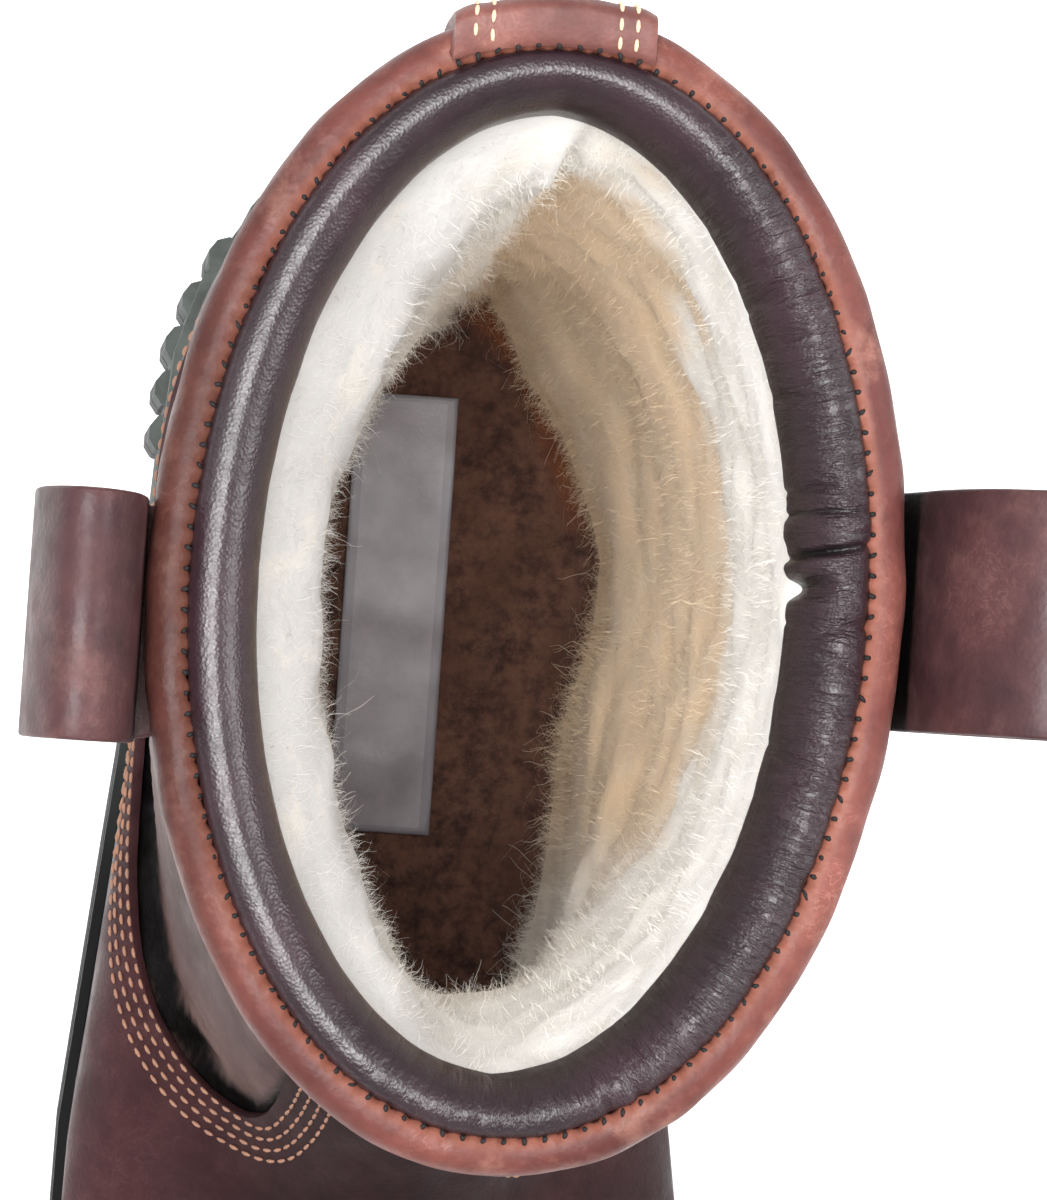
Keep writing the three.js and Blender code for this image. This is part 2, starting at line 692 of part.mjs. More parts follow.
// A pull loop: a strap folded into a teardrop, its two ends lying one on the other on the shaft.
function makeLoop({ side, place, reach, lean }) {
  const low = shaftTop - loopDrop;
  const high = shaftTop + loopRise - loopLeather;
  const start = bindingProud + 2 * clearance + loopLeather;
  const surface = (z) => {
    const spot = upperAt(place, z);
    return spot.centre + side * spot.half;
  };
  const inside = loopLine.map((row) => {
    const z = mix(low, high, row.up);
    const out = mix(start, reach - loopLeather, row.out) + lean * row.up;
    return new THREE.Vector3(surface(z) + side * out, z, 0);
  });
  const curve = new THREE.CatmullRomCurve3(inside, true);
  const steps = 26;
  const offset = (distance) => {
    const points = [];
    for (let i = 0; i < steps; i += 1) {
      const point = curve.getPointAt(i / steps);
      const tangent = curve.getTangentAt(i / steps);
      points.push(new THREE.Vector2(point.x - tangent.y * distance, point.y + tangent.x * distance));
    }
    return points;
  };
  const tailHigh = low + loopLeather;
  const tailLow = low - loopTail;
  const tailOut = clearance + 2 * loopLeather;
  const tail = [
    new THREE.Vector2(surface(tailLow) - side * upperWall, tailLow),
    new THREE.Vector2(surface(tailLow) + side * tailOut, tailLow),
    new THREE.Vector2(surface(tailHigh) + side * tailOut, tailHigh),
    new THREE.Vector2(surface(tailHigh) - side * upperWall, tailHigh),
  ];
  const front = yOf(place) + loopWidth / 2;
  const upright = new THREE.Matrix4().set(1, 0, 0, 0, 0, 0, -1, front, 0, 1, 0, 0, 0, 0, 0, 1);
  const strap = (points) => {
    const settings = { depth: loopWidth, bevelEnabled: false };
    return solidOf(new THREE.ExtrudeGeometry(new THREE.Shape(points), settings).applyMatrix4(upright));
  };
  const shaft = form(clearance).intersect(between(below(0), below(shaftTop)));
  return cutAll(strap(offset(side * loopLeather)).add(strap(tail)), [strap(offset(0)), shaft]);
}

const plain = (color, roughness) => new THREE.MeshStandardMaterial({ color, roughness, metalness: 0 });
const materials = {
  rubber: plain(0x1c1b1c, 0.75),
  foam: plain(0x232223, 0.8),
  shaft: plain(0x6d6059, 0.5),
  vamp: plain(0x55423f, 0.5),
  strap: plain(0x7a5550, 0.45),
  edge: plain(0x8a6158, 0.45),
  pad: plain(0x4a3a3c, 0.4),
  pile: plain(0xe4dcd0, 1),
  footbed: plain(0x54392e, 0.95),
};

const group = new THREE.Group();
function add(name, solid, material) {
  const mesh = solid.getMesh();
  const geometry = new THREE.BufferGeometry();
  geometry.setAttribute("position", new THREE.Float32BufferAttribute(mesh.vertProperties, 3));
  geometry.setIndex(new THREE.Uint32BufferAttribute(mesh.triVerts, 1));
  const node = new THREE.Mesh(geometry, material);
  node.name = name;
  group.add(node);
}
add("outsole", makeOutsole(), materials.rubber);
add("midsole", makeMidsole(), materials.foam);
add("upper", makeUpper(), materials.shaft);
add("vamp", makeVamp(), materials.vamp);
add("back_stay", makeBackStay(), materials.strap);
add("top_binding", makeBinding(), materials.edge);
add("collar_pad", makePad(), materials.pad);
add("fur_lining", makeLining(), materials.pile);
add("insole", makeInsole(), materials.footbed);
add("loop_lateral", makeLoop(outerLoop), materials.strap);
add("loop_medial", makeLoop(innerLoop), materials.strap);

export default group;
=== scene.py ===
# A fur-lined pull-on boot for the right foot, seen from above: leathers, padding, pile, straps and sole.
import math

import bmesh
import bpy
import numpy as np
from mathutils import Matrix, Vector, noise
from mathutils.bvhtree import BVHTree
from mathutils.kdtree import KDTree


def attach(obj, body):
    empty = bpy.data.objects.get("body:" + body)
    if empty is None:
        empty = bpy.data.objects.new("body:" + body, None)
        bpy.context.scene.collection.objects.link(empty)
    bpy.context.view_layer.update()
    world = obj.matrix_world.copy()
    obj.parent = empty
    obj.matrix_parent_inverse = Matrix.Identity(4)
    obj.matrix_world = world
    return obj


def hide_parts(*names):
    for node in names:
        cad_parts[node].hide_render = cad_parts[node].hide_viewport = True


bl_info = {
    "name": "Pull-on boot",
    "version": (1, 0, 0),
    "blender": (4, 5, 0),
    "location": "3D View > Sidebar > Boot",
    "description": "Builds the dressed pieces of a lined pull-on boot on its frame",
    "category": "Add Mesh",
}

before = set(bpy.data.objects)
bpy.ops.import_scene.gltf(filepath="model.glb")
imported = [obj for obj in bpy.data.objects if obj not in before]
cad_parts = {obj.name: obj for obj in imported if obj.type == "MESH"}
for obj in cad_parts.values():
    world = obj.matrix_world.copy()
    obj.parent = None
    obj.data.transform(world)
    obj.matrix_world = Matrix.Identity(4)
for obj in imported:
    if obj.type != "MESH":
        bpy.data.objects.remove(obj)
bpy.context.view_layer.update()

# Sizes are in millimetres until a mesh is finished.
MM = 0.001
SOLE_LENGTH = 312.0
BALL_WIDTH = 112.4
HEEL_OVERHANG = 42.0
HEEL_SEAT = 38.0
BALL_SEAT = 25.0
TOE_SPRING = 9.0
THROAT = 150.0
SHAFT_TOP = 264.0
COLLAR_CENTRE = 83.0
COLLAR_LENGTH = 160.0
COLLAR_WIDTH = 103.8
SOLE_LEDGE = 4.4
WALL = 2.2
VAMP_LEATHER = 1.8
ANKLE_BULGE = 1.4
CLEAR = 0.3
PILE = 8.5
INSOLE = 6.0
EDGE_PROUD = 0.8
EDGE_WIDTH = 5.8
EDGE_CROWN = 8.0
PAD_SIDE = 9.2
PAD_END = 7.3
PAD_DEPTH = 22.0
PAD_RISE = 2.0
STAY_WIDTH = 28.0
STAY_MIDDLE = -2.0
STAY_LEATHER = 1.8
LOOP_WIDTH = 34.0
LOOP_LEATHER = 2.8
LOOP_RISE = 24.0
LOOP_DROP = 24.0
LOOP_TAIL = 26.0
OUTER_LOOP = {"side": -1, "place": 90.5, "reach": 17.0, "lean": 0.0}
INNER_LOOP = {"side": 1, "place": 81.5, "reach": 23.0, "lean": 6.0}
EDGE_TOP = SHAFT_TOP + EDGE_CROWN
COLLAR_Y = HEEL_OVERHANG - COLLAR_CENTRE
PAD_TOP = EDGE_TOP + PAD_RISE

# Half widths of the sole on the outer and the inner side, as shares of the ball width.
SOLE_SIDES = (
    (0.0, 0.388, 0.38), (0.15, 0.404, 0.376), (0.3, 0.426, 0.366), (0.42, 0.454, 0.38),
    (0.5, 0.474, 0.42), (0.575, 0.492, 0.461), (0.63, 0.494, 0.486), (0.72, 0.478, 0.506),
    (0.85, 0.42, 0.49), (1.0, 0.33, 0.43),
)
SEAT_LINE = ((-0.1, 1), (0.16, 1), (0.32, 0.62), (0.46, 0.2), (0.58, 0), (1.1, 0))
SPRING_LINE = ((-0.1, 0), (0.68, 0), (0.84, 0.3), (1, 1), (1.1, 1.5))
# Height as a share of the throat, then the front and the back as shares of the sole's length.
FOOT_OUTLINE = (
    (0.0, 0.9865, 0.0135), (0.3, 0.9855, 0.0122), (0.387, 0.977, 0.0103), (0.453, 0.957, 0.0109),
    (0.52, 0.922, 0.0135), (0.573, 0.862, 0.0167), (0.613, 0.786, 0.0199), (0.647, 0.718, 0.0224),
    (0.687, 0.6538, 0.025), (0.733, 0.609, 0.0282), (0.793, 0.5705, 0.0308), (0.867, 0.5401, 0.032),
)
# Height as a share of the shaft, then the front and the back as shares of the collar's length.
LEG_OUTLINE = (
    (0.0, 0.481, -0.456), (0.22, 0.463, -0.466), (0.48, 0.47, -0.481),
    (0.79, 0.489, -0.496), (1.0, 0.5, -0.5), (1.25, 0.506, -0.503),
)
# Height, front rounding and its power, back rounding and its power, half width, and hold to the foot.
FOOT_ROUNDING = (
    (0.0, 0.245, 2.2, 0.155, 2.25, 0.9, 1), (0.3, 0.245, 2.2, 0.155, 2.25, 0.9, 1),
    (0.52, 0.33, 1.95, 0.17, 2.2, 0.92, 1), (0.613, 0.5, 1.78, 0.22, 2.2, 0.93, 0.8),
    (0.693, 0.61, 1.62, 0.3, 2.15, 0.93, 0.45), (0.787, 0.6, 1.76, 0.38, 2.1, 0.925, 0.2),
    (0.867, 0.56, 1.9, 0.44, 2.1, 0.92, 0.05),
)
LEG_ROUNDING = (
    (0.0, 0.5, 2.0, 0.5, 2.05, 0.925, 0), (0.48, 0.5, 2.05, 0.5, 2.05, 0.956, 0),
    (1.0, 0.5, 2.05, 0.5, 2.05, 1, 0), (1.25, 0.5, 2.05, 0.5, 2.05, 1.012, 0),
)
# The vamp's upper edge from the heel round its lobe to the throat.
VAMP_EDGE = (
    (-0.03, 0.7), (0.13, 0.693), (0.26, 0.677), (0.35, 0.66), (0.413, 0.653), (0.465, 0.659),
    (0.5, 0.673), (0.526, 0.693), (0.54, 0.72), (0.544, 0.755), (0.534, 0.8), (0.518, 0.867),
    (0.502, 0.967), (0.494, 1.04), (0.496, 1.1), (0.505, 1.13), (0.55, 1.14),
)
LOOP_LINE = (
    (0, 0.14), (0, 0.36), (0, 0.62), (0.14, 0.86), (0.5, 1), (0.87, 0.87), (1, 0.62),
    (0.84, 0.33), (0.45, 0.1), (0.14, 0.02),
)


MATERIALS = {}


class Line:
    """A smooth line through the rows of a table, without overshoot."""

    def __init__(self, places, values):
        self.x = np.array(places, float)
        self.y = np.array(values, float)
        slope = np.diff(self.y) / np.diff(self.x)
        before, after = slope[:-1], slope[1:]
        same = before * after > 0
        total = np.where(same, before + after, 1)
        inner = np.where(same, 2 * before * after / total, 0)
        self.t = np.concatenate([slope[:1], inner, slope[-1:]])

    def __call__(self, at):
        at = np.clip(at, self.x[0], self.x[-1])
        i = np.clip(np.searchsorted(self.x, at) - 1, 0, len(self.x) - 2)
        step = self.x[i + 1] - self.x[i]
        t = (at - self.x[i]) / step
        start = (1 - t) ** 2 * t * self.t[i] * step
        end = t * t * (t - 1) * self.t[i + 1] * step
        share = t * t * (3 - 2 * t)
        return self.y[i] * (1 - share) + self.y[i + 1] * share + start + end


def columns(rows, scale=1.0, move=0.0):
    """A line for each column of a table after the first."""
    places = [row[0] * scale + move for row in rows]
    return [Line(places, [row[k] for row in rows]) for k in range(1, len(rows[0]))]


def leg_height(share):
    return THROAT + (SHAFT_TOP - THROAT) * share


OUTER_SIDE, INNER_SIDE = columns(SOLE_SIDES)
SEAT, = columns(SEAT_LINE)
SPRING, = columns(SPRING_LINE)
OUTLINE = [(r[0] * THROAT, r[1] * SOLE_LENGTH, r[2] * SOLE_LENGTH) for r in FOOT_OUTLINE]
OUTLINE += [
    (leg_height(r[0]), COLLAR_CENTRE + r[1] * COLLAR_LENGTH, COLLAR_CENTRE + r[2] * COLLAR_LENGTH)
    for r in LEG_OUTLINE
]
FRONT, BACK = columns(OUTLINE)
LEVELS = [(r[0] * THROAT, *r[1:]) for r in FOOT_ROUNDING]
LEVELS += [(leg_height(r[0]), *r[1:]) for r in LEG_ROUNDING]
FRONT_ROUND, FRONT_POWER, BACK_ROUND, BACK_POWER, HALF, FOLLOW = columns(LEVELS)


def y_of(along):
    return HEEL_OVERHANG - along


def seat_at(along):
    share = along / SOLE_LENGTH
    return BALL_SEAT + (HEEL_SEAT - BALL_SEAT) * SEAT(share) + TOE_SPRING * SPRING(share)


def closing(depth, length, power):
    u = np.clip(depth / length, 0, 1)
    return (1 - (1 - u) ** power) ** (1 / power)


def foot_at(along, inset):
    """Middle and half width of the sole's outline, moved inwards."""
    outer = OUTER_SIDE(along / SOLE_LENGTH) * BALL_WIDTH - inset
    inner = INNER_SIDE(along / SOLE_LENGTH) * BALL_WIDTH - inset
    return (inner - outer) / 2, (inner + outer) / 2


def upper_at(along, z):
    """Middle and half width of the upper at a place seen from the side."""
    middle, half = foot_at(along, SOLE_LEDGE)
    follow = FOLLOW(z)
    bulge = ANKLE_BULGE * np.clip((z - HEEL_SEAT) / HEEL_SEAT, 0, 1)
    side = HALF(z) * COLLAR_WIDTH / 2 * (1 - follow) + (half + bulge) * follow
    front, back = FRONT(z), BACK(z)
    ends = closing(front - along, FRONT_ROUND(z) * (front - back), FRONT_POWER(z))
    ends = ends * closing(along - back, BACK_ROUND(z) * (front - back), BACK_POWER(z))
    return middle * follow, side * ends


BELOW_SEAT = 20.0
ABOVE_TOP = 20.0
TIP_INSET = 0.03
HALVINGS = 40


def floor_at(along):
    return seat_at(along) - BELOW_SEAT


def edge_between(inside, outside):
    """The place where the way from an inner point to an outer one leaves the side outline."""
    near, far = 0.0, 1.0
    inside, outside = np.array(inside), np.array(outside)
    for _ in range(HALVINGS):
        middle = (near + far) / 2
        along, z = inside + (outside - inside) * middle
        if along < FRONT(z) and along > BACK(z) and z > floor_at(along):
            near = middle
        else:
            far = middle
    return inside + (outside - inside) * near


# Section lines of each part of the form, and the points along a section.
LEG_LINES = 44
HEEL_LINES = 26
SEAT_LINES = 6
ARCH_LINES = 8
FOREFOOT_LINES = 60
SIDE_POINTS = 100
DENSE_POINTS = 161


def section_lines():
    """Section lines seen from the side: level over the leg, fanned at the ankle, upright over the foot."""
    pivot = np.array([COLLAR_CENTRE + 0.775 * COLLAR_LENGTH, 1.1 * THROAT])
    lines = []
    for i in range(LEG_LINES):
        z = SHAFT_TOP + ABOVE_TOP + (pivot[1] - SHAFT_TOP - ABOVE_TOP) * i / LEG_LINES
        middle = (COLLAR_CENTRE, z)
        ends = [edge_between(middle, (COLLAR_CENTRE + way * SOLE_LENGTH, z)) for way in (1, -1)]
        lines.append(ends)
    corner = np.array([BACK(floor_at(0)), floor_at(0)])
    seat_end = corner[0] + (pivot[0] - corner[0]) * 0.32
    targets = []
    for i in range(HEEL_LINES):
        z = pivot[1] + (corner[1] - pivot[1]) * i / HEEL_LINES
        targets.append((BACK(z), z))
    for start, end, count in ((corner[0], seat_end, SEAT_LINES), (seat_end, pivot[0], ARCH_LINES)):
        for i in range(count):
            along = start + (end - start) * i / count
            targets.append((along, floor_at(along)))
    for target in np.array(targets):
        share = 0.6 * COLLAR_LENGTH / np.linalg.norm(pivot - target)
        lines.append([edge_between(pivot + (target - pivot) * share, pivot), target])
    toe = FRONT(0) - TIP_INSET
    for i in range(FOREFOOT_LINES + 1):
        along = pivot[0] + (toe - pivot[0]) * math.sin(i / FOREFOOT_LINES * math.pi / 2)
        bottom = floor_at(along)
        lines.append([edge_between((along, bottom + 1), (along, pivot[1])), np.array([along, bottom])])
    return lines


def side_of_section(line, side, count):
    """One side of a section from its front end to its back end, in even steps over the surface."""
    t = (1 - np.cos(np.pi * np.linspace(0, 1, DENSE_POINTS))) / 2
    along = line[0][0] + (line[1][0] - line[0][0]) * t
    z = line[0][1] + (line[1][1] - line[0][1]) * t
    middle, half = upper_at(along, z)
    points = np.stack([middle + side * half, y_of(along), z], 1)
    points[0, 0] = middle[0]
    last = [upper_at(line[1][0], line[1][1])[0], y_of(line[1][0]), line[1][1]]
    points = np.vstack([points, last])
    lengths = np.concatenate([[0], np.cumsum(np.linalg.norm(np.diff(points, axis=0), axis=1))])
    goal = np.linspace(0, lengths[-1], count + 1)
    return np.stack([np.interp(goal, lengths, points[:, k]) for k in range(3)], 1)


def whole_section(line, count):
    outer = side_of_section(line, -1, count)
    inner = side_of_section(line, 1, count)
    return np.vstack([outer, inner[1:-1][::-1]])


def make_form():
    """The points of the form, one row a section, and the directions out of its surface."""
    points = np.array([whole_section(line, SIDE_POINTS) for line in section_lines()])
    around = np.roll(points, -1, 1) - np.roll(points, 1, 1)
    rows = np.concatenate([points[1:], points[-1:]]) - np.concatenate([points[:1], points[:-1]])
    out = np.cross(around, rows)
    out /= np.linalg.norm(out, axis=2, keepdims=True)
    return points, out


FORM, FORM_OUT = make_form()


def smooth_path(rows, steps):
    """Dense points on the curve through all rows but the first and the last, which only steer it."""
    path = []
    for i in range(1, len(rows) - 2):
        a, b, c, d = rows[i - 1:i + 3]
        for t in np.linspace(0, 1, steps, endpoint=False):
            bend = (2 * a - 5 * b + 4 * c - d) * t * t + (3 * b - a - 3 * c + d) * t ** 3
            path.append(0.5 * (2 * b + (c - a) * t + bend))
    return path


def vamp_outline():
    """The vamp's edge as a dense line of places seen from the side."""
    rows = np.array([(r[0] * SOLE_LENGTH, r[1] * THROAT) for r in VAMP_EDGE])
    steered = np.vstack([2 * rows[0] - rows[1], rows, 2 * rows[-1] - rows[-2]])
    return np.vstack([smooth_path(steered, 12), rows[-1]])


VAMP_LINE = vamp_outline()


def off_vamp(points, lift=0.0):
    """Distance from the vamp's edge seen from the side, positive inside the vamp."""
    place = np.stack([HEEL_OVERHANG - points[:, 1], points[:, 2]], 1)
    line = VAMP_LINE + np.array([0, lift])
    a, b = line[:-1], line[1:]
    best = np.full(len(place), 1e9)
    for start, end in zip(a, b):
        way = end - start
        t = np.clip(((place - start) @ way) / (way @ way), 0, 1)
        best = np.minimum(best, np.linalg.norm(place - start - t[:, None] * way, axis=1))
    ring = np.vstack([line, [[2 * SOLE_LENGTH, line[-1, 1]], [2 * SOLE_LENGTH, -50], [line[0, 0], -50]]])
    inside = np.zeros(len(place), bool)
    for (x0, z0), (x1, z1) in zip(ring, np.roll(ring, -1, 0)):
        crosses = (z0 > place[:, 1]) != (z1 > place[:, 1])
        if z0 != z1:
            at = x0 + (place[:, 1] - z0) * (x1 - x0) / (z1 - z0)
            inside ^= crosses & (place[:, 0] < at)
    return np.where(inside, best, -best)


def edge_in_space(lift=0.0):
    """The vamp's edge on the form, from the heel on the outer side over the instep to the heel again."""
    line = VAMP_LINE + np.array([0, lift])
    kept = [p for p in line if BACK(p[1]) < p[0] < FRONT(p[1])]
    past = line[len([p for p in line if p[0] < FRONT(p[1])]):]
    if len(past):
        kept.append(edge_between(kept[-1], past[0]))
    kept = np.array(kept)
    middle, half = upper_at(kept[:, 0], kept[:, 1])
    sides = [np.stack([middle + side * half, y_of(kept[:, 0]), kept[:, 1]], 1) for side in (-1, 1)]
    whole = np.vstack([sides[0], sides[1][::-1]])
    return evenly(whole, 1.0)


def evenly(points, step):
    """A line's points in even steps."""
    gaps = np.linalg.norm(np.diff(points, axis=0), axis=1)
    keep = np.concatenate([[True], gaps > 1e-6])
    points = points[keep]
    lengths = np.concatenate([[0], np.cumsum(np.linalg.norm(np.diff(points, axis=0), axis=1))])
    goal = np.linspace(0, lengths[-1], max(2, int(round(lengths[-1] / step)) + 1))
    return np.stack([np.interp(goal, lengths, points[:, k]) for k in range(3)], 1)


VAMP_RIM = edge_in_space()


def point_tree(points):
    tree = KDTree(len(points))
    for i, p in enumerate(points):
        tree.insert(p, i)
    tree.balance()
    return tree


def near_line(points, line):
    """Distance of each point from a dense line."""
    tree = point_tree(line)
    return np.array([tree.find(p)[2] for p in points])


def soft_step(value, low, high):
    t = np.clip((value - low) / (high - low), 0, 1)
    return t * t * (3 - 2 * t)


# Meshes

def surface(place, wrap_x=False, wrap_y=False):
    """A bmesh grid whose vertices are put at place[row, column]. A wrapped way is closed to a ring."""
    rows = len(place) - (not wrap_y)
    steps = place.shape[1] - (not wrap_x)
    bm = bmesh.new()
    bmesh.ops.create_grid(bm, x_segments=steps, y_segments=rows, size=0.5)
    for v in bm.verts:
        i = round((v.co.y + 0.5) * rows)
        j = round((v.co.x + 0.5) * steps)
        v.co = place[i % len(place), j % place.shape[1]]
    if wrap_x or wrap_y:
        bmesh.ops.remove_doubles(bm, verts=bm.verts, dist=1e-4)
    bm.normal_update()
    return bm


def form_surface(distance):
    """The whole form, grown by a distance, as an open tube."""
    return surface(FORM + FORM_OUT * distance, wrap_x=True)


def places_of(bm):
    return np.array([v.co[:] for v in bm.verts])


RIM_GAP = 0.5


def keep_where(bm, field):
    """Cuts the mesh where the field crosses zero and keeps the part where it is positive."""
    bm.verts.index_update()
    value = field(places_of(bm))
    value = np.where(np.abs(value) < 1e-4, 1e-4, value)
    cut = []
    for edge in list(bm.edges):
        a, b = edge.verts
        fa, fb = value[a.index], value[b.index]
        if fa * fb < 0:
            cut.append(bmesh.utils.edge_split(edge, a, fa / (fa - fb))[1])
    bmesh.ops.connect_verts(bm, verts=cut)
    bm.faces.ensure_lookup_table()
    middles = np.array([f.calc_center_median()[:] for f in bm.faces])
    keep = field(middles) > 0
    bmesh.ops.delete(bm, geom=[f for f, k in zip(bm.faces, keep) if not k], context="FACES")
    rim = [v for v in cut if v.is_valid]
    on_rim = set(rim)
    target = {}
    for v in rim:
        for edge in v.link_edges:
            other = edge.other_vert(v)
            if other not in on_rim and other not in target and edge.calc_length() < RIM_GAP:
                target[other] = v
    bmesh.ops.weld_verts(bm, targetmap=target)
    same_order(bm)


def same_order(bm):
    """Sorts a mesh by place, so that each run gives its parts in the same order."""
    verts = sorted(bm.verts, key=lambda v: tuple(round(c, 3) for c in v.co))
    for i, v in enumerate(verts):
        v.index = i
    bm.verts.sort()
    faces = sorted(bm.faces, key=lambda f: sorted(v.index for v in f.verts))
    for i, f in enumerate(faces):
        f.index = i
    bm.faces.sort()


def face_out(bm, middle):
    """Turns an open surface so that its faces look away from a line of points."""
    bm.normal_update()
    total = 0.0
    for f in bm.faces:
        total += f.normal.dot(f.calc_center_median() - middle(f.calc_center_median())) * f.calc_area()
    if total < 0:
        bmesh.ops.reverse_faces(bm, faces=bm.faces)


def face_towards(bm, way):
    """Turns an open surface so that its faces look along a direction on the whole."""
    bm.normal_update()
    if sum(f.normal.dot(Vector(way)) for f in bm.faces) < 0:
        bmesh.ops.reverse_faces(bm, faces=bm.faces)


def inner_line(point):
    """The middle of the boot near a point: up the shaft and along the foot."""
    if point.z > THROAT:
        return Vector((0, COLLAR_Y, point.z))
    return Vector((0, min(max(point.y, -220), 0), 60))


def link_piece(mesh, material):
    """Makes a mesh a piece of the boot."""
    mesh.shade_smooth()
    mesh.materials.append(MATERIALS[material])
    obj = bpy.data.objects.new(mesh.name, mesh)
    bpy.context.scene.collection.objects.link(obj)
    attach(obj, "root")
    return obj


def add_object(name, bm, material):
    """Finishes a mesh in metres at the origin, as a piece of the boot."""
    bmesh.ops.scale(bm, vec=(MM, MM, MM), verts=bm.verts)
    bm.normal_update()
    mesh = bpy.data.meshes.new(name)
    bm.to_mesh(mesh)
    bm.free()
    obj = link_piece(mesh, material)
    return obj


def thicken(obj, thickness, bevel=0.0, outwards=False):
    """Gives a skin its leather thickness and softens its cut edges."""
    wall = obj.modifiers.new("thickness", "SOLIDIFY")
    wall.thickness = thickness * MM
    wall.offset = 1 if outwards else -1
    if bevel:
        round_off = obj.modifiers.new("soft edge", "BEVEL")
        round_off.width = bevel * MM
        round_off.segments = 2
        round_off.limit_method = "ANGLE"
        round_off.angle_limit = math.radians(50)


def set_attribute(obj, name, values):
    layer = obj.data.attributes.new(name, "FLOAT", "POINT")
    layer.data.foreach_set("value", np.asarray(values, np.float32))


def object_places(obj):
    """A finished object's points, in millimetres."""
    flat = np.empty(len(obj.data.vertices) * 3, np.float32)
    obj.data.vertices.foreach_get("co", flat)
    return flat.reshape(-1, 3) / MM


def joined_copies(name, template, places, material):
    """One mesh of many copies of a small shape; places holds the points of each copy."""
    bmesh.ops.triangulate(template, faces=template.faces)
    template.verts.index_update()
    faces = np.array(sorted([v.index for v in f.verts] for f in template.faces), np.int32)
    count = len(template.verts)
    template.free()
    every = (faces[None] + count * np.arange(len(places), dtype=np.int32)[:, None, None]).reshape(-1)
    mesh = bpy.data.meshes.new(name)
    points = (places.reshape(-1, 3) * MM).astype(np.float32)
    mesh.vertices.add(len(points))
    mesh.vertices.foreach_set("co", points.ravel())
    mesh.loops.add(len(every))
    mesh.loops.foreach_set("vertex_index", every)
    mesh.polygons.add(len(every) // 3)
    mesh.polygons.foreach_set("loop_start", np.arange(0, len(every), 3, dtype=np.int32))
    mesh.update(calc_edges=True)
    return link_piece(mesh, material)


def tree_of(obj):
    """A search tree over a finished object's surface, in millimetres."""
    points = object_places(obj)
    polygons = [tuple(p.vertices) for p in obj.data.polygons]
    return BVHTree.FromPolygons([Vector(p) for p in points], polygons)


def on_surface(tree, points):
    """The nearest places on a surface and the directions out of it."""
    spots, normals = [], []
    for p in points:
        spot, normal, _, _ = tree.find_nearest(Vector(p))
        spots.append(spot)
        normals.append(normal)
    return np.array(spots), np.array(normals)


def row_beside(tree, line, distance, sign=1.0):
    """A line that runs beside another one over a surface."""
    base, normal = on_surface(tree, line)
    tangent = np.gradient(base, axis=0)
    tangent /= np.linalg.norm(tangent, axis=1, keepdims=True) + 1e-9
    across = np.cross(normal, tangent)
    moved = base + sign * distance * across
    return on_surface(tree, evenly(moved, 1.0))[0]


def stitch_row(tree, line, length, pitch, thread, sink=0.25):
    """The points of each stitch along a line on a surface."""
    bm = stitch_template()
    shape = places_of(bm)
    bm.free()
    line = evenly(line, pitch)
    middles = (line[:-1] + line[1:]) / 2
    ways = line[1:] - line[:-1]
    spots, normals = on_surface(tree, middles)
    ways /= np.linalg.norm(ways, axis=1, keepdims=True) + 1e-9
    side = np.cross(normals, ways)
    side /= np.linalg.norm(side, axis=1, keepdims=True) + 1e-9
    up = np.cross(ways, side)
    along = shape[:, 2] * length / 2
    across = shape[:, 0] * thread / 2
    high = shape[:, 1] * thread / 2 + thread * (0.5 - sink) - 0.18 * shape[:, 2] ** 2 * thread
    moved = spots[:, None] + along[None, :, None] * ways[:, None]
    moved = moved + across[None, :, None] * side[:, None]
    return moved + high[None, :, None] * up[:, None]


def stitch_template():
    bm = bmesh.new()
    bmesh.ops.create_uvsphere(bm, radius=1.0, u_segments=6, v_segments=4)
    return bm


def sew(name, tree, lines, thread):
    """Rows of stitches along lines on a surface."""
    sizes = bpy.context.scene.boot
    lengths = [size / MM for size in (sizes.stitch_length, sizes.stitch_pitch, sizes.thread)]
    rows = [stitch_row(tree, line, *lengths) for line in lines]
    joined_copies(name, stitch_template(), np.concatenate(rows), thread)


# Materials

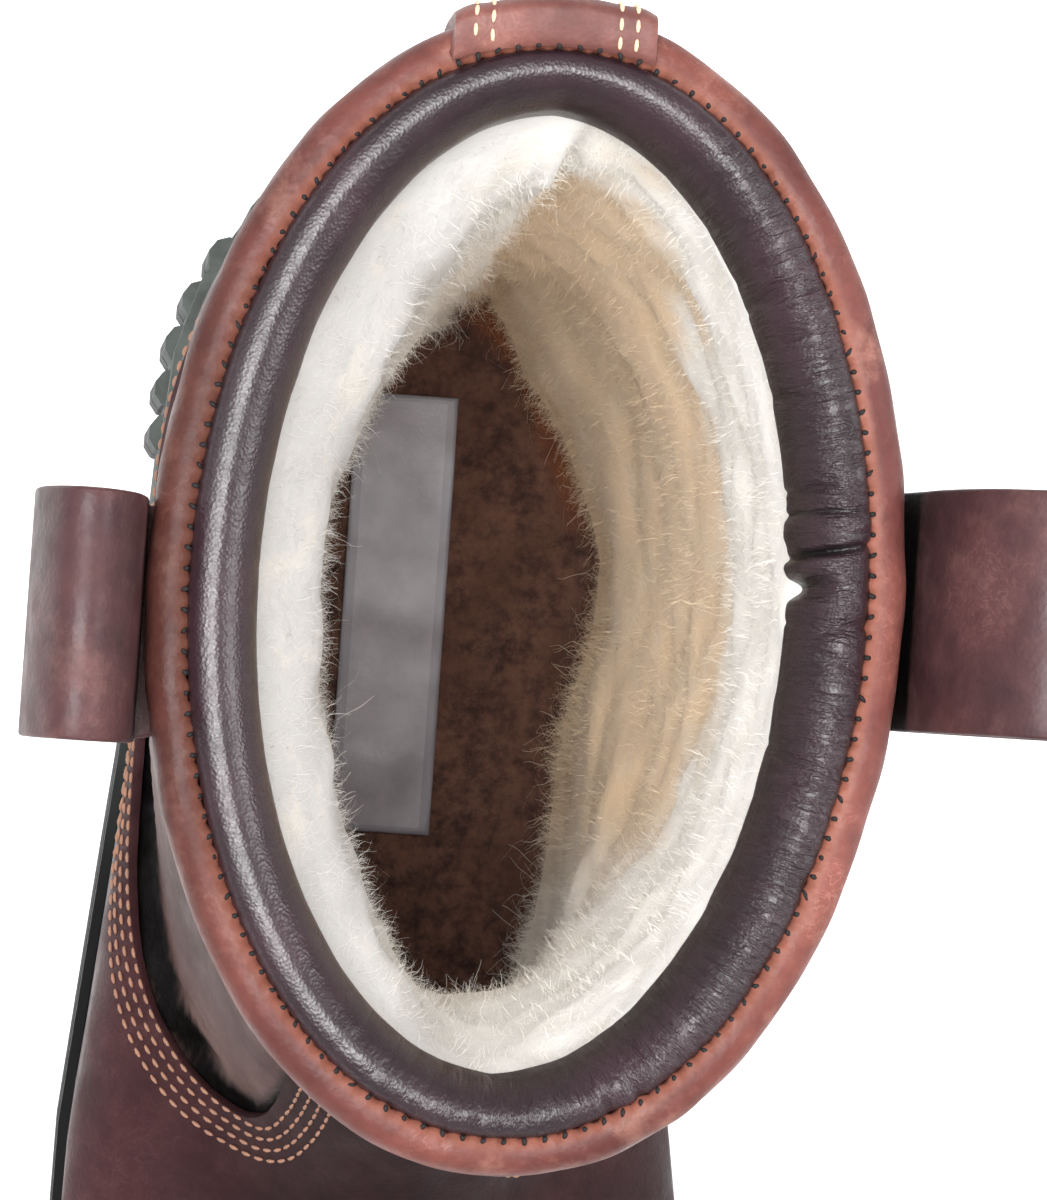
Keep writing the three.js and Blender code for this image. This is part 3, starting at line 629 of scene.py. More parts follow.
class Nodes:
    """A short way to write a material's nodes."""

    def __init__(self, name):
        self.material = bpy.data.materials.new(name)
        self.material.use_nodes = True
        self.tree = self.material.node_tree
        self.shader = next(n for n in self.tree.nodes if n.type == "BSDF_PRINCIPLED")
        self.place = self.add("ShaderNodeTexCoord").outputs["Object"]

    def add(self, kind, inputs=None, **settings):
        node = self.tree.nodes.new(kind)
        for key, value in settings.items():
            setattr(node, key, value)
        for key, value in (inputs or {}).items():
            if isinstance(value, bpy.types.NodeSocket):
                self.tree.links.new(value, node.inputs[key])
            else:
                node.inputs[key].default_value = value
        return node

    def noise(self, size, detail=3.0, rough=0.55, distort=0.0):
        inputs = {"Vector": self.place, "Scale": 1 / (size * MM), "Detail": detail,
                  "Roughness": rough, "Distortion": distort}
        return self.add("ShaderNodeTexNoise", inputs).outputs["Fac"]

    def cells(self, size):
        inputs = {"Vector": self.place, "Scale": 1 / (size * MM)}
        return self.add("ShaderNodeTexVoronoi", inputs).outputs["Distance"]

    def along(self, axis):
        return self.add("ShaderNodeSeparateXYZ", {0: self.place}).outputs[axis]

    def grey(self, value):
        return self.add("ShaderNodeCombineColor", {0: value, 1: value, 2: value}).outputs[0]

    def ramp(self, value, low, high, start=0.0, end=1.0, kind="SMOOTHSTEP"):
        inputs = {"Value": value, "From Min": low, "From Max": high, "To Min": start, "To Max": end}
        return self.add("ShaderNodeMapRange", inputs, interpolation_type=kind).outputs["Result"]

    def math(self, operation, a, b=0.0):
        return self.add("ShaderNodeMath", {0: a, 1: b}, operation=operation).outputs[0]

    def blend(self, share, a, b, kind="MIX"):
        inputs = {0: share, 6: a, 7: b}
        return self.add("ShaderNodeMix", inputs, data_type="RGBA", blend_type=kind).outputs[2]

    def attribute(self, name):
        return self.add("ShaderNodeAttribute", attribute_name=name).outputs["Fac"]

    def bump(self, height, depth, strength=1.0, normal=None):
        inputs = {"Height": height, "Distance": depth * MM, "Strength": strength}
        if normal:
            inputs["Normal"] = normal
        return self.add("ShaderNodeBump", inputs).outputs["Normal"]

    def set(self, **values):
        names = {"colour": "Base Color", "rough": "Roughness", "normal": "Normal", "sheen": "Sheen Weight",
                 "sheen_rough": "Sheen Roughness", "specular": "Specular IOR Level",
                 "glow": "Emission Strength"}
        for key, value in values.items():
            socket = self.shader.inputs[names[key]]
            if isinstance(value, bpy.types.NodeSocket):
                self.tree.links.new(value, socket)
            else:
                socket.default_value = value
        return self.material


def srgb(r, g, b):
    """A colour given as it looks, from 0 to 255, as a shader takes it."""
    def one(c):
        c /= 255
        return c / 12.92 if c <= 0.04045 else ((c + 0.055) / 1.055) ** 2.4
    return (one(r), one(g), one(b), 1.0)


def leather(name, colour, dark, worn, grain=0.8, depth=0.1, rough=(0.4, 0.6), wear=0.4, shine=0.3,
            rim=None, rim_reach=2.0, sides=None):
    """Oiled leather: cloudy colour, fine pores and rubbed spots, a second tone along a rim, and painted
    light and shade by side. The rim's tone is painted shade on the shaft and the loops, and rubbed wear on
    the turned edge.
    """
    n = Nodes(name)
    clouds = n.noise(30, 4, 0.6)
    fine = n.noise(3.2, 5, 0.65)
    pores = n.cells(grain)
    small = n.noise(0.45, 3, 0.6)
    tone = n.blend(n.ramp(clouds, 0.32, 0.7), dark, colour)
    rubbed = n.math("MULTIPLY", n.ramp(n.noise(14, 6, 0.7), 0.5, 0.74), wear)
    tone = n.blend(rubbed, tone, worn)
    crossing = n.noise(5, 2, 0.5, distort=3.5)
    scars = n.math("MULTIPLY", n.ramp(crossing, 0.5, 0.53), n.ramp(crossing, 0.57, 0.54))
    tone = n.blend(n.math("MULTIPLY", scars, n.ramp(clouds, 0.5, 0.62, 0, 0.3)), tone, worn)
    # Painted shade on the shaft and the loops, rubbed wear on the turned edge: the colour turns to the
    # rim's tone where the rim attribute is small.
    if rim:
        uneven = n.math("ADD", n.attribute("rim"), n.ramp(fine, 0.3, 0.7, -0.12, 0.12, "LINEAR"))
        tone = n.blend(n.ramp(uneven, rim_reach, rim_reach * 0.25), tone, rim)
    speck_and_side_shade = n.ramp(fine, 0.3, 0.7, 0.84, 1.12, "LINEAR")
    # Painted light and shade: each row (start, end, share) scales the colour from full at X = start to the
    # share at X = end, darker or lighter on one side.
    if sides:
        across = n.along("X")
        for start, end, share in sides:
            speck_and_side_shade = n.math("MULTIPLY", speck_and_side_shade, n.ramp(across, start, end, 1.0, share))
    tone = n.blend(1.0, tone, n.grey(speck_and_side_shade), "MULTIPLY")
    relief = n.math("ADD", n.math("MULTIPLY", pores, 0.7), n.math("MULTIPLY", small, 0.5))
    soft = n.bump(n.noise(7, 3, 0.5), 0.3, 0.5)
    normal = n.bump(relief, depth, 0.6, soft)
    gloss = n.ramp(n.noise(9, 4, 0.6), 0.3, 0.7, rough[0], rough[1])
    return n.set(colour=tone, rough=gloss, normal=normal, specular=shine)


def pile_material(name, light, warm, deep, fibres=False):
    """Woolly pile: white at the top, tan lower down at the inner side, clumped like cotton, with painted
    grey shade on the outer side. The tan is partly the pile's own colour and partly painted shade.
    """
    n = Nodes(name)
    shade = n.attribute("tan")
    across = n.along("X")
    # Painted shade: the pile is fully grey beyond X = -3 cm on the outer side, fading out by X = 1 cm.
    tone = n.blend(n.ramp(across, -0.03, 0.01), srgb(186, 183, 180), light)
    # Partly the pile's own tan, partly painted shade lower down in the boot.
    tone = n.blend(shade, tone, warm)
    tone = n.blend(n.ramp(n.noise(9, 4, 0.6), 0.5, 0.3, 0, 0.25), tone, deep)
    if fibres:
        n.set(colour=tone, rough=1.0, specular=0.05)
        thinned = n.blend(0.62, tone, srgb(0, 0, 0))
        through = n.add("ShaderNodeBsdfTranslucent", {"Color": thinned}).outputs[0]
        both = n.add("ShaderNodeAddShader", {0: n.shader.outputs[0], 1: through}).outputs[0]
        end = next(node for node in n.tree.nodes if node.type == "OUTPUT_MATERIAL")
        n.tree.links.new(both, end.inputs["Surface"])
        return n.material
    relief = n.math("ADD", n.noise(1.4, 5, 0.7), n.math("MULTIPLY", n.noise(4.2, 3, 0.6), 1.6))
    return n.set(colour=tone, rough=1.0, normal=n.bump(relief, 0.35, 0.6), sheen=0.2, sheen_rough=0.6,
                 specular=0.05)


def pad_material(name, colour, dark, crease):
    """Soft coated leather: fine pebbled grain, with cross wrinkles where the padding is crumpled, and
    near-black painted shade in the wrinkles and along the join's creases.
    """
    n = Nodes(name)
    flow = n.add("ShaderNodeAttribute", attribute_name="flow").outputs["Vector"]
    lines = n.add("ShaderNodeTexNoise", {"Vector": flow, "Scale": 1.0, "Detail": 4.0, "Roughness": 0.62})
    sharp = n.ramp(lines.outputs["Fac"], 0.36, 0.6)
    pull = n.attribute("crumple")
    tone = n.blend(n.ramp(n.noise(22, 4, 0.6), 0.3, 0.7), dark, colour)
    # Painted shade: near-black in the wrinkles' troughs and along the join's creases.
    folds = n.math("MULTIPLY", pull, n.ramp(lines.outputs["Fac"], 0.48, 0.3))
    folds = n.math("MAXIMUM", n.math("MULTIPLY", folds, 0.45), n.attribute("join"))
    tone = n.blend(folds, tone, crease)
    normal = n.bump(n.math("MULTIPLY", sharp, pull), 0.32, 0.8)
    pebbles = n.math("ADD", n.cells(0.5), n.math("MULTIPLY", n.noise(0.9, 2, 0.5), 0.5))
    normal = n.bump(pebbles, 0.07, 0.8, normal)
    gloss = n.ramp(n.noise(2.5, 4, 0.6), 0.3, 0.7, 0.32, 0.42)
    gloss = n.math("ADD", gloss, n.math("MULTIPLY", pull, 0.07))
    return n.set(colour=tone, rough=gloss, normal=normal, specular=0.62)


def plain_material(name, colour, rough, depth, grain):
    """A matt moulded or woven surface with a fine grain."""
    n = Nodes(name)
    tone = n.ramp(n.noise(12, 4, 0.6), 0.3, 0.7, 0.88, 1.12, "LINEAR")
    relief = n.math("ADD", n.noise(grain, 4, 0.6), n.noise(grain * 3, 2, 0.5))
    tone = n.blend(1.0, colour, n.grey(tone), "MULTIPLY")
    return n.set(colour=tone, rough=rough, normal=n.bump(relief, depth, 0.6))


# Pieces

def level_line(z, count):
    """The shaft's outline at a level and the level directions out of it."""
    points = whole_section([(FRONT(z), z), (BACK(z), z)], count)
    way = np.roll(points, -1, 0) - np.roll(points, 1, 0)
    out = np.stack([-way[:, 1], way[:, 0], np.zeros(len(points))], 1)
    out /= np.linalg.norm(out, axis=1, keepdims=True)
    return points, out


def make_shaft():
    bm = form_surface(0.0)
    keep_where(bm, lambda p: 14 - off_vamp(p))
    keep_where(bm, lambda p: SHAFT_TOP - CLEAR - p[:, 2])
    face_out(bm, inner_line)
    bm.normal_update()
    points = places_of(bm)
    side = off_vamp(points)
    away = near_line(points, VAMP_RIM)
    outside = side < 0
    puff = 2.6 * soft_step(away, 1.6, 9) * (1 - 0.6 * soft_step(away, 10, 32)) - 1.2
    lift = np.where(outside, puff, -0.5)
    lift *= 1 - soft_step(points[:, 2], SHAFT_TOP - 40, SHAFT_TOP - 6)
    folds = creases(points, SHAFT_FOLDS, on_shaft, (5.0, 6.0, 7.0), 6.5, 9)
    lift += folds * soft_step(away, 2, 8) * outside
    for v, move in zip(bm.verts, lift):
        v.co += v.normal * move
    obj = add_object("shaft_leather", bm, "shaft")
    # Painted shade: near the vamp's edge the shaft's colour turns near-black, in the valley under the vamp
    # where shade falls.
    set_attribute(obj, "rim", np.maximum(near_line(object_places(obj), VAMP_RIM) - 2.0, 0))
    thicken(obj, WALL)
    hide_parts("upper")


def wave(points, line, width, depth):
    """A soft trough, or a ridge where the depth is negative, along a line."""
    away = near_line(points, evenly(np.array(line, float), 2.0))
    return -depth * np.exp(-(away / width) ** 2)


def creases(points, folds, put, widths, ridge_width, ridge_shift):
    """Soft troughs along folds, each with a ridge beside it."""
    total = np.zeros(len(points))
    depth = bpy.context.scene.boot.crease_depth / MM
    for i, fold in enumerate(folds):
        total += wave(points, [put(a, b) for a, b in fold], widths[i % len(widths)], depth)
        ridge = [put(a + ridge_shift, b) for a, b in fold]
        total += wave(points, ridge, ridge_width, -0.6 * depth)
    return total


def on_shaft(z, degrees):
    """A place on the shaft at a height and an angle from the front, inner side positive."""
    turn = math.radians(degrees)
    front, back = FRONT(z), BACK(z)
    along = (front + back) / 2 + (front - back) / 2 * math.cos(turn)
    middle, half = upper_at(along, z)
    return (middle + math.copysign(1, turn) * half, y_of(along), z)


# Heights and angles of the shaft's folds.
SHAFT_FOLDS = (
    ((176, -72), (170, -40), (168, -10), (171, 22), (178, 52)),
    ((196, -50), (190, -18), (189, 14), (194, 40)),
    ((158, -98), (150, -84), (146, -70)),
    ((158, 98), (150, 86), (146, 72)),
    ((150, 150), (147, 178), (150, 205)),
    ((166, 140), (162, 172), (165, 210)),
    ((214, -120), (207, -100), (203, -84)),
    ((216, 112), (208, 96), (203, 80)),
    ((132, -128), (126, -112), (122, -98)),
    ((132, 128), (126, 112), (122, 98)),
)


def on_foot(along, x):
    """A place on top of the foot."""
    low, high = seat_at(along) + 4, THROAT * 1.1
    for _ in range(HALVINGS):
        z = (low + high) / 2
        middle, half = upper_at(along, z)
        if half > abs(x - middle) and along < FRONT(z):
            low = z
        else:
            high = z
    return (x, y_of(along), low)


# Distances from the heel, and places across, of the foot's folds.
FOOT_FOLDS = (
    ((222, -34), (214, -18), (210, 2), (213, 24), (220, 38)),
    ((238, -38), (231, -20), (228, 4), (231, 26), (238, 40)),
    ((202, -36), (196, -26), (193, -14)),
    ((203, 36), (197, 26), (193, 15)),
)


# The first stitch row's distance from the edge, the next ones' gap, and where the two short rows end.
FIRST_ROW = 0.3
ROW_GAP = 2.05
SHORT_ROW = 6


def make_vamp():
    bm = form_surface(CLEAR + VAMP_LEATHER)
    end = [e for e in bm.edges if e.is_boundary and all(v.co.y < y_of(SOLE_LENGTH - 12) for v in e.verts)]
    bmesh.ops.edgeloop_fill(bm, edges=end)
    keep_where(bm, off_vamp)
    keep_where(bm, lambda p: p[:, 2] - seat_at(HEEL_OVERHANG - p[:, 1]) - 1)
    face_out(bm, inner_line)
    bm.normal_update()
    points = places_of(bm)
    away = near_line(points, VAMP_RIM)
    lift = creases(points, FOOT_FOLDS, on_foot, (4.5,), 5.5, -8) * soft_step(away, 4, 12)
    lift += 0.5 * soft_step(away, 0, 4) - 0.5
    for v, move in zip(bm.verts, lift):
        v.co += v.normal * move
    obj = add_object("vamp_leather", bm, "vamp")
    set_attribute(obj, "rim", near_line(object_places(obj), VAMP_RIM))
    thicken(obj, VAMP_LEATHER, 0.45)
    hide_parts("vamp")
    tree = tree_of(obj)
    lines = [row_beside(tree, VAMP_RIM, FIRST_ROW + ROW_GAP * k, vamp_side(tree)) for k in range(4)]
    for k in (2, 3):
        lines[k] = lines[k][lines[k][:, 1] < COLLAR_Y + SHORT_ROW]
    sew("vamp_stitches", tree, lines, "thread")


def vamp_side(tree):
    """Which way across the edge line the vamp lies."""
    base, normal = on_surface(tree, VAMP_RIM[40:42])
    across = np.cross(normal[0], base[1] - base[0])
    moved = base[:1] + 4 * across / np.linalg.norm(across)
    return 1.0 if off_vamp(moved)[0] > off_vamp(base[:1])[0] else -1.0


COLLAR_POINTS = 260
RING_ROWS = 28
EDGE_STITCHES = 138


def ring_section(share):
    """The turned edge's section: distance out and height for a share of the way round it."""
    inside = EDGE_PROUD - EDGE_WIDTH
    rows = (
        (EDGE_PROUD - 1.2, SHAFT_TOP - 3.5), (EDGE_PROUD - 0.1, SHAFT_TOP - 0.5),
        (EDGE_PROUD, SHAFT_TOP + 2.5),
        (EDGE_PROUD - 0.4, SHAFT_TOP + 5.4), (EDGE_PROUD - 1.5, EDGE_TOP - 1.0),
        (EDGE_PROUD - 3.0, EDGE_TOP - 0.2), (EDGE_PROUD - 4.4, EDGE_TOP - 0.1),
        (inside + 0.1, EDGE_TOP - 0.6), (inside - 0.2, EDGE_TOP - 2.0), (inside, SHAFT_TOP - 5.0),
        (-WALL - 0.8, SHAFT_TOP - 6.0), (-WALL - 0.2, SHAFT_TOP - 2.0),
        (-WALL, SHAFT_TOP + 0.2), (-0.6, SHAFT_TOP + 0.1),
    )
    places = np.linspace(0, 1, len(rows))
    return Line(places, [r[0] for r in rows])(share), Line(places, [r[1] for r in rows])(share)


def round_run(points):
    """How far round the collar each point of a level lies, from 0 to 1."""
    lengths = np.linalg.norm(np.roll(points, -1, 0) - points, axis=1)
    return np.concatenate([[0], np.cumsum(lengths)[:-1]]) / lengths.sum()


def make_edge():
    shares = np.linspace(0, 1, RING_ROWS + 1)[:-1]
    out, z = ring_section(shares)
    rows = []
    for distance, height in zip(out, z):
        points, direction = level_line(height, COLLAR_POINTS)
        run = round_run(points)
        puffs = np.cos(2 * np.pi * run * EDGE_STITCHES)
        inner = soft_step(-distance, 2.6, 4.6) * soft_step(height, EDGE_TOP - 4, EDGE_TOP - 1.5)
        uneven = np.array([noise.noise(Vector(q) / 9) for q in points])
        grown = distance + 0.35 * uneven * soft_step(height, SHAFT_TOP - 2, SHAFT_TOP + 2)
        place = points + direction * (grown - 0.3 * inner * puffs)[:, None]
        dips = 0.28 * inner * (1 - puffs) / 2
        place[:, 2] += 0.3 * uneven * soft_step(height, SHAFT_TOP + 2, EDGE_TOP) - dips
        rows.append(place)
    place = np.array(rows)
    bm = surface(place, wrap_x=True, wrap_y=True)
    bmesh.ops.recalc_face_normals(bm, faces=bm.faces)
    obj = add_object("turned_edge", bm, "edge")
    base, direction = level_line(EDGE_TOP - 0.5, COLLAR_POINTS)
    line = base + direction * (EDGE_PROUD - EDGE_WIDTH + 0.35)
    line = np.vstack([line, line[:1]])
    set_attribute(obj, "rim", near_line(object_places(obj), evenly(line, 1.0)))
    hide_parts("top_binding")
    make_edge_stitches(line)


def make_edge_stitches(line):
    """Dark stitches that bind the padding to the turned edge, one in each dip of it."""
    bm = stitch_template()
    shape = places_of(bm)
    lengths = np.concatenate([[0], np.cumsum(np.linalg.norm(np.diff(line, axis=0), axis=1))])
    goal = (np.arange(EDGE_STITCHES) + 0.5) / EDGE_STITCHES * lengths[-1]
    spots = np.stack([np.interp(goal, lengths, line[:, k]) for k in range(3)], 1)
    ahead = np.stack([np.interp(goal + 0.5, lengths, line[:, k]) for k in range(3)], 1)
    way = ahead - spots
    way /= np.linalg.norm(way, axis=1, keepdims=True)
    out = np.cross(way, [0, 0, 1.0])
    out /= np.linalg.norm(out, axis=1, keepdims=True)
    outwards = np.sign(np.sum(out * (spots - [0, COLLAR_Y, spots[0, 2]]), axis=1))
    out *= outwards[:, None]
    over_strap = (np.abs(spots[:, 0] - STAY_MIDDLE) < STAY_WIDTH / 2) & (spots[:, 1] > COLLAR_Y)
    spots[:, 2] += over_strap * (STAY_LEATHER - 0.3)
    rng = np.random.default_rng(3)
    size = rng.uniform(0.5, 1.1, len(spots))[:, None, None]
    slant = rng.normal(0, 0.25, len(spots))[:, None, None]
    reach = shape[None, :, 2:3] * size
    move = out[:, None] * (reach * 0.75 + 0.1) + way[:, None] * (shape[None, :, 0:1] * 0.42 + slant * reach)
    move = move + np.array([0, 0, 1.0]) * (shape[None, :, 1:2] * 0.4 + 0.12 - 0.3 * np.abs(reach))
    joined_copies("edge_stitches", bm, spots[:, None] + move, "dark_thread")


PAD_ROWS = 40
PAD_POINTS = 660
# Shares of the padding's width inwards and of its depth upwards.
PAD_SECTION = (
    (0.02, 0.1), (-0.03, 0.45), (-0.04, 0.85), (0.04, 0.955), (0.2, 1.0), (0.38, 1.012), (0.58, 0.982),
    (0.77, 0.915), (0.93, 0.8), (1.02, 0.62), (1.0, 0.36), (0.88, 0.14), (0.6, 0.02), (0.3, 0.0),
)


def pad_shape():
    """The padding's points, row by row round its section."""
    places = np.linspace(0, 1, len(PAD_SECTION) + 1)
    loop = PAD_SECTION + PAD_SECTION[:1]
    across_line = Line(places, [r[0] for r in loop])
    up_line = Line(places, [r[1] for r in loop])
    shares = np.linspace(0, 1, PAD_ROWS + 1)[:-1]
    rows = []
    for share in shares:
        z = PAD_TOP - PAD_DEPTH * (1 - up_line(share))
        points, direction = level_line(z, PAD_POINTS)
        width = PAD_END + (PAD_SIDE - PAD_END) * np.abs(direction[:, 0])
        out = EDGE_PROUD - EDGE_WIDTH - CLEAR - across_line(share) * width
        rows.append(points + direction * out[:, None])
    return np.array(rows), shares


# The padding's join, behind the collar's middle, and the wrinkles and their run round the collar.
JOIN_PLACE = 8.0
WRINKLES = 210
WRINKLE_RUN = 400.0


def make_padding():
    place, shares = pad_shape()
    middle = place.mean(0, keepdims=True)
    out = place - middle
    out /= np.linalg.norm(out, axis=2, keepdims=True)
    run = round_run(place.mean(0))
    angle = 2 * np.pi * run
    rel = place.mean(0)[:, 1] - COLLAR_Y
    x = place.mean(0)[:, 0]
    turn = np.degrees(np.arctan2(x, -rel))
    crumple = 0.06 + 0.94 * soft_step(turn, -28, 18) * (1 - soft_step(turn, 142, 172))
    place = place + out * pad_wrinkles(place, shares, run, crumple)[..., None]
    place, dark = pad_join(place, out, shares, rel, x > 0)
    bm = surface(place, wrap_x=True, wrap_y=True)
    bmesh.ops.recalc_face_normals(bm, faces=bm.faces)
    tree = point_tree(place.reshape(-1, 3))
    obj = add_object("collar_padding", bm, "pad")
    found = np.array([tree.find(q)[1] for q in object_places(obj)])
    column = found % place.shape[1]
    across = shares[found // place.shape[1]]
    flow = np.stack([np.cos(angle[column]) * 46, np.sin(angle[column]) * 46, across * 5], 1)
    layer = obj.data.attributes.new("flow", "FLOAT_VECTOR", "POINT")
    layer.data.foreach_set("vector", flow.astype(np.float32).ravel())
    set_attribute(obj, "crumple", crumple[column])
    # The join attribute carries painted shade along the join's creases and below the tongue.
    set_attribute(obj, "join", np.clip(dark.reshape(-1)[found], 0, 1))
    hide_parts("collar_pad")


def pad_wrinkles(place, shares, run, crumple):
    """Cross wrinkles, strongest at the inner side and at the front."""
    rng = np.random.default_rng(7)
    lift = np.zeros(place.shape[:2])
    for _ in range(WRINKLES):
        at = rng.uniform(0, WRINKLE_RUN)
        width = rng.uniform(0.6, 1.5)
        depth = rng.uniform(0.08, 0.36)
        slant = rng.uniform(-10, 10)
        centre = rng.uniform(0.2, 0.62)
        reach = rng.uniform(0.1, 0.28)
        away = run[None, :] * WRINKLE_RUN - at - slant * (shares[:, None] - centre)
        away = (away + WRINKLE_RUN / 2) % WRINKLE_RUN - WRINKLE_RUN / 2
        lift -= depth * np.exp(-(away / width) ** 2) * np.exp(-((shares[:, None] - centre) / reach) ** 2)
    angle = 2 * np.pi * run
    waves = np.array([noise.noise(Vector((math.cos(a) * 7, math.sin(a) * 7, 0))) for a in angle])
    return lift * crumple[None, :] * 1.3 + 0.5 * waves[None, :] * (0.3 + 0.7 * crumple[None, :])


def pad_join(place, out, shares, rel, inner_side):
    """The ends of the padding butt at the inner side: a fat roll, a folded tongue and the open notch, with
    painted shade along the join's creases and below the tongue.
    """
    near = inner_side & (np.abs(rel - JOIN_PLACE) < 30)
    s = np.where(near, rel - JOIN_PLACE, 99.0)[None, :]
    across = shares[:, None]
    top = np.exp(-((across - 0.4) / 0.26) ** 2)
    inner = soft_step(across, 0.36, 0.6) * (1 - soft_step(across, 0.8, 0.95))
    body = np.minimum(top + inner, 1.15)
    slanted = s - 0.4 - 3.0 * (0.55 - across)
    tongue = s + 3.7 - 2.2 * (0.6 - across)
    lift = -0.7 * np.exp(-((s - 6.2) / 0.55) ** 2) * body
    lift = lift - (1.9 * top + 0.5 * inner) * np.exp(-(slanted / 0.6) ** 2)
    lift = lift + 0.45 * np.exp(-((s - 3.4) / 1.7) ** 2) * body
    lift = lift + 0.9 * np.exp(-((s + 1.6) / 1.3) ** 2) * inner
    lift = lift - 0.9 * np.exp(-(tongue / 0.8) ** 2) * inner
    lift = lift - 0.4 * np.exp(-((s - 9.5) / 0.5) ** 2) * (0.3 + inner)
    lift = lift - 0.35 * np.exp(-((s + 9.5) / 0.6) ** 2)
    place = place + out * lift[..., None]
    place[:, :, 0] += 1.5 * np.exp(-((s + 4.9) / 1.1) ** 2) * inner
    # Painted shade: a dark mask along the creases of the join and below the tongue.
    dark = np.maximum(np.exp(-(slanted / 0.55) ** 2) * body, 0.9 * np.exp(-(tongue / 0.7) ** 2) * inner)
    return place, np.maximum(dark, 0.7 * np.exp(-((s - 6.2) / 0.45) ** 2) * body)


# Where the pile overlaps at the heel: across the boot, and height.
PILE_SEAM = ((8.0, 262.0), (4.0, 225.0), (1.0, 190.0), (2.0, 150.0), (5.0, 100.0), (6.0, 46.0))


def seam_across(z):
    z = z + 5 * np.sin(z / 5.3) * np.sin(z / 3.1)
    return np.interp(z, [p[1] for p in PILE_SEAM[::-1]], [p[0] for p in PILE_SEAM[::-1]])


# The pile's foot at the inner side: distance from the collar's middle to the heel, place across.
PILE_FOOT = (
    (-74, 10.0), (-68, 19.0), (-60, 25.0), (-52, 28.0), (-37, 29.8), (-18, 29.8), (-7, 32.6), (0, 35.5),
    (13, 35.5), (26, 30.0), (36, 25.6), (47, 20.0), (56, 11.0),
)


def pile_foot(rel):
    return np.interp(rel, [row[0] for row in PILE_FOOT], [row[1] for row in PILE_FOOT])


def pile_depth(points, out):
    """Thickness of the pile: full at the outer side and the heel, thin at the inner side low down."""
    x, z = points[..., 0], points[..., 2]
    rel = points[..., 1] - COLLAR_Y
    leg = soft_step(rel, -105, -70)
    outer = np.clip(-out[..., 0], 0, 1) ** 1.4
    heel = np.clip(out[..., 1], 0, 1) ** 1.5
    front = np.clip(-out[..., 1], 0, 1) ** 2
    inner = np.clip(out[..., 0], 0, 1)
    body = soft_step(z, 264, 238)
    low = 1 - soft_step(z, 50, 120)
    flap = soft_step(seam_across(z) - x, -1.2, 1.6) * soft_step(rel, 10, 40) * soft_step(z, 266, 250)
    depth = PILE + leg * body * (outer * 13.0 + front * 2.0)
    depth = depth + leg * heel * body * (2.0 + 5.0 * flap + 8.0 * low) + 1.6 * flap
    depth = depth + 2.5 * inner * leg * soft_step(z, 268, 256) * soft_step(z, 190, 235)
    bare = np.clip((x - WALL - CLEAR - pile_foot(rel)) / np.maximum(out[..., 0], 0.5), 0.3, 16)
    share = foot_share(points, out)
    return (depth * (1 - share) + bare * share) * (0.55 + 0.45 * leg)


def foot_share(points, out):
    """How far the pile follows its foot's outline at the inner side."""
    rel = points[..., 1] - COLLAR_Y
    low = 1 - soft_step(points[..., 2], 54, 125)
    return soft_step(out[..., 0], 0.35, 0.75) * low * soft_step(rel, -95, -72)


def woolly(points):
    """Soft clumps of the pile, in millimetres."""
    lumps = []
    for p in points.reshape(-1, 3):
        q = Vector(p)
        lumps.append(1.4 * noise.noise(q / 14) + 0.75 * noise.noise(q / 6.5) + 0.25 * noise.noise(q / 3.1))
    return np.array(lumps).reshape(points.shape[:-1])


def make_lining():
    depth = pile_depth(FORM, FORM_OUT) + woolly(FORM) * (1 - 0.7 * foot_share(FORM, FORM_OUT))
    points = FORM - FORM_OUT * (WALL + CLEAR + depth)[..., None]
    tip = y_of(FRONT(0)) + 1.4 * (WALL + PILE)
    bm = surface(points[FORM[:, 0, 1] > tip], wrap_x=True)
    keep_where(bm, lambda p: PAD_TOP - 6 - p[:, 2])
    keep_where(bm, lambda p: p[:, 2] - seat_at(HEEL_OVERHANG - p[:, 1]) - WALL - INSOLE + 1)
    face_out(bm, inner_line)
    bmesh.ops.reverse_faces(bm, faces=bm.faces)
    obj = add_object("pile_lining", bm, "pile")
    set_attribute(obj, "tan", tan_and_shade_share(object_places(obj)))
    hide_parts("fur_lining")


def tan_and_shade_share(points):
    """How tan the pile is: lower down, from the seam at the heel over the inner side to the front; partly
    the pile's own tan, partly painted shade deeper in the boot.
    """
    rel = points[:, 1] - COLLAR_Y
    turn = np.degrees(np.arctan2(points[:, 0] - 4, -rel))
    patches = np.array([noise.noise(Vector(p) / 22) + 0.6 * noise.noise(Vector(p) / 8) for p in points])
    z = points[:, 2] + 26 * patches
    heel = soft_step(rel, 35, 60)
    deep = 1 - soft_step(z - 34 * heel, 152, 240)
    beyond = soft_step(points[:, 0] - seam_across(points[:, 2]), -0.5, 2.5)
    side = soft_step(turn, 2, 62) * (heel * beyond + 1 - heel)
    return np.clip(soft_step(deep * side, 0.2, 0.8) + 0.1 * (1 - soft_step(z, 60, 200)), 0, 1)


# Parts of short fibres before the part of long ones, and the steps along a fibre.
FIBRE_PARTS = 3
SHORT_STEPS = 4
LONG_STEPS = 10
FIBRE_WIDTH = 0.045


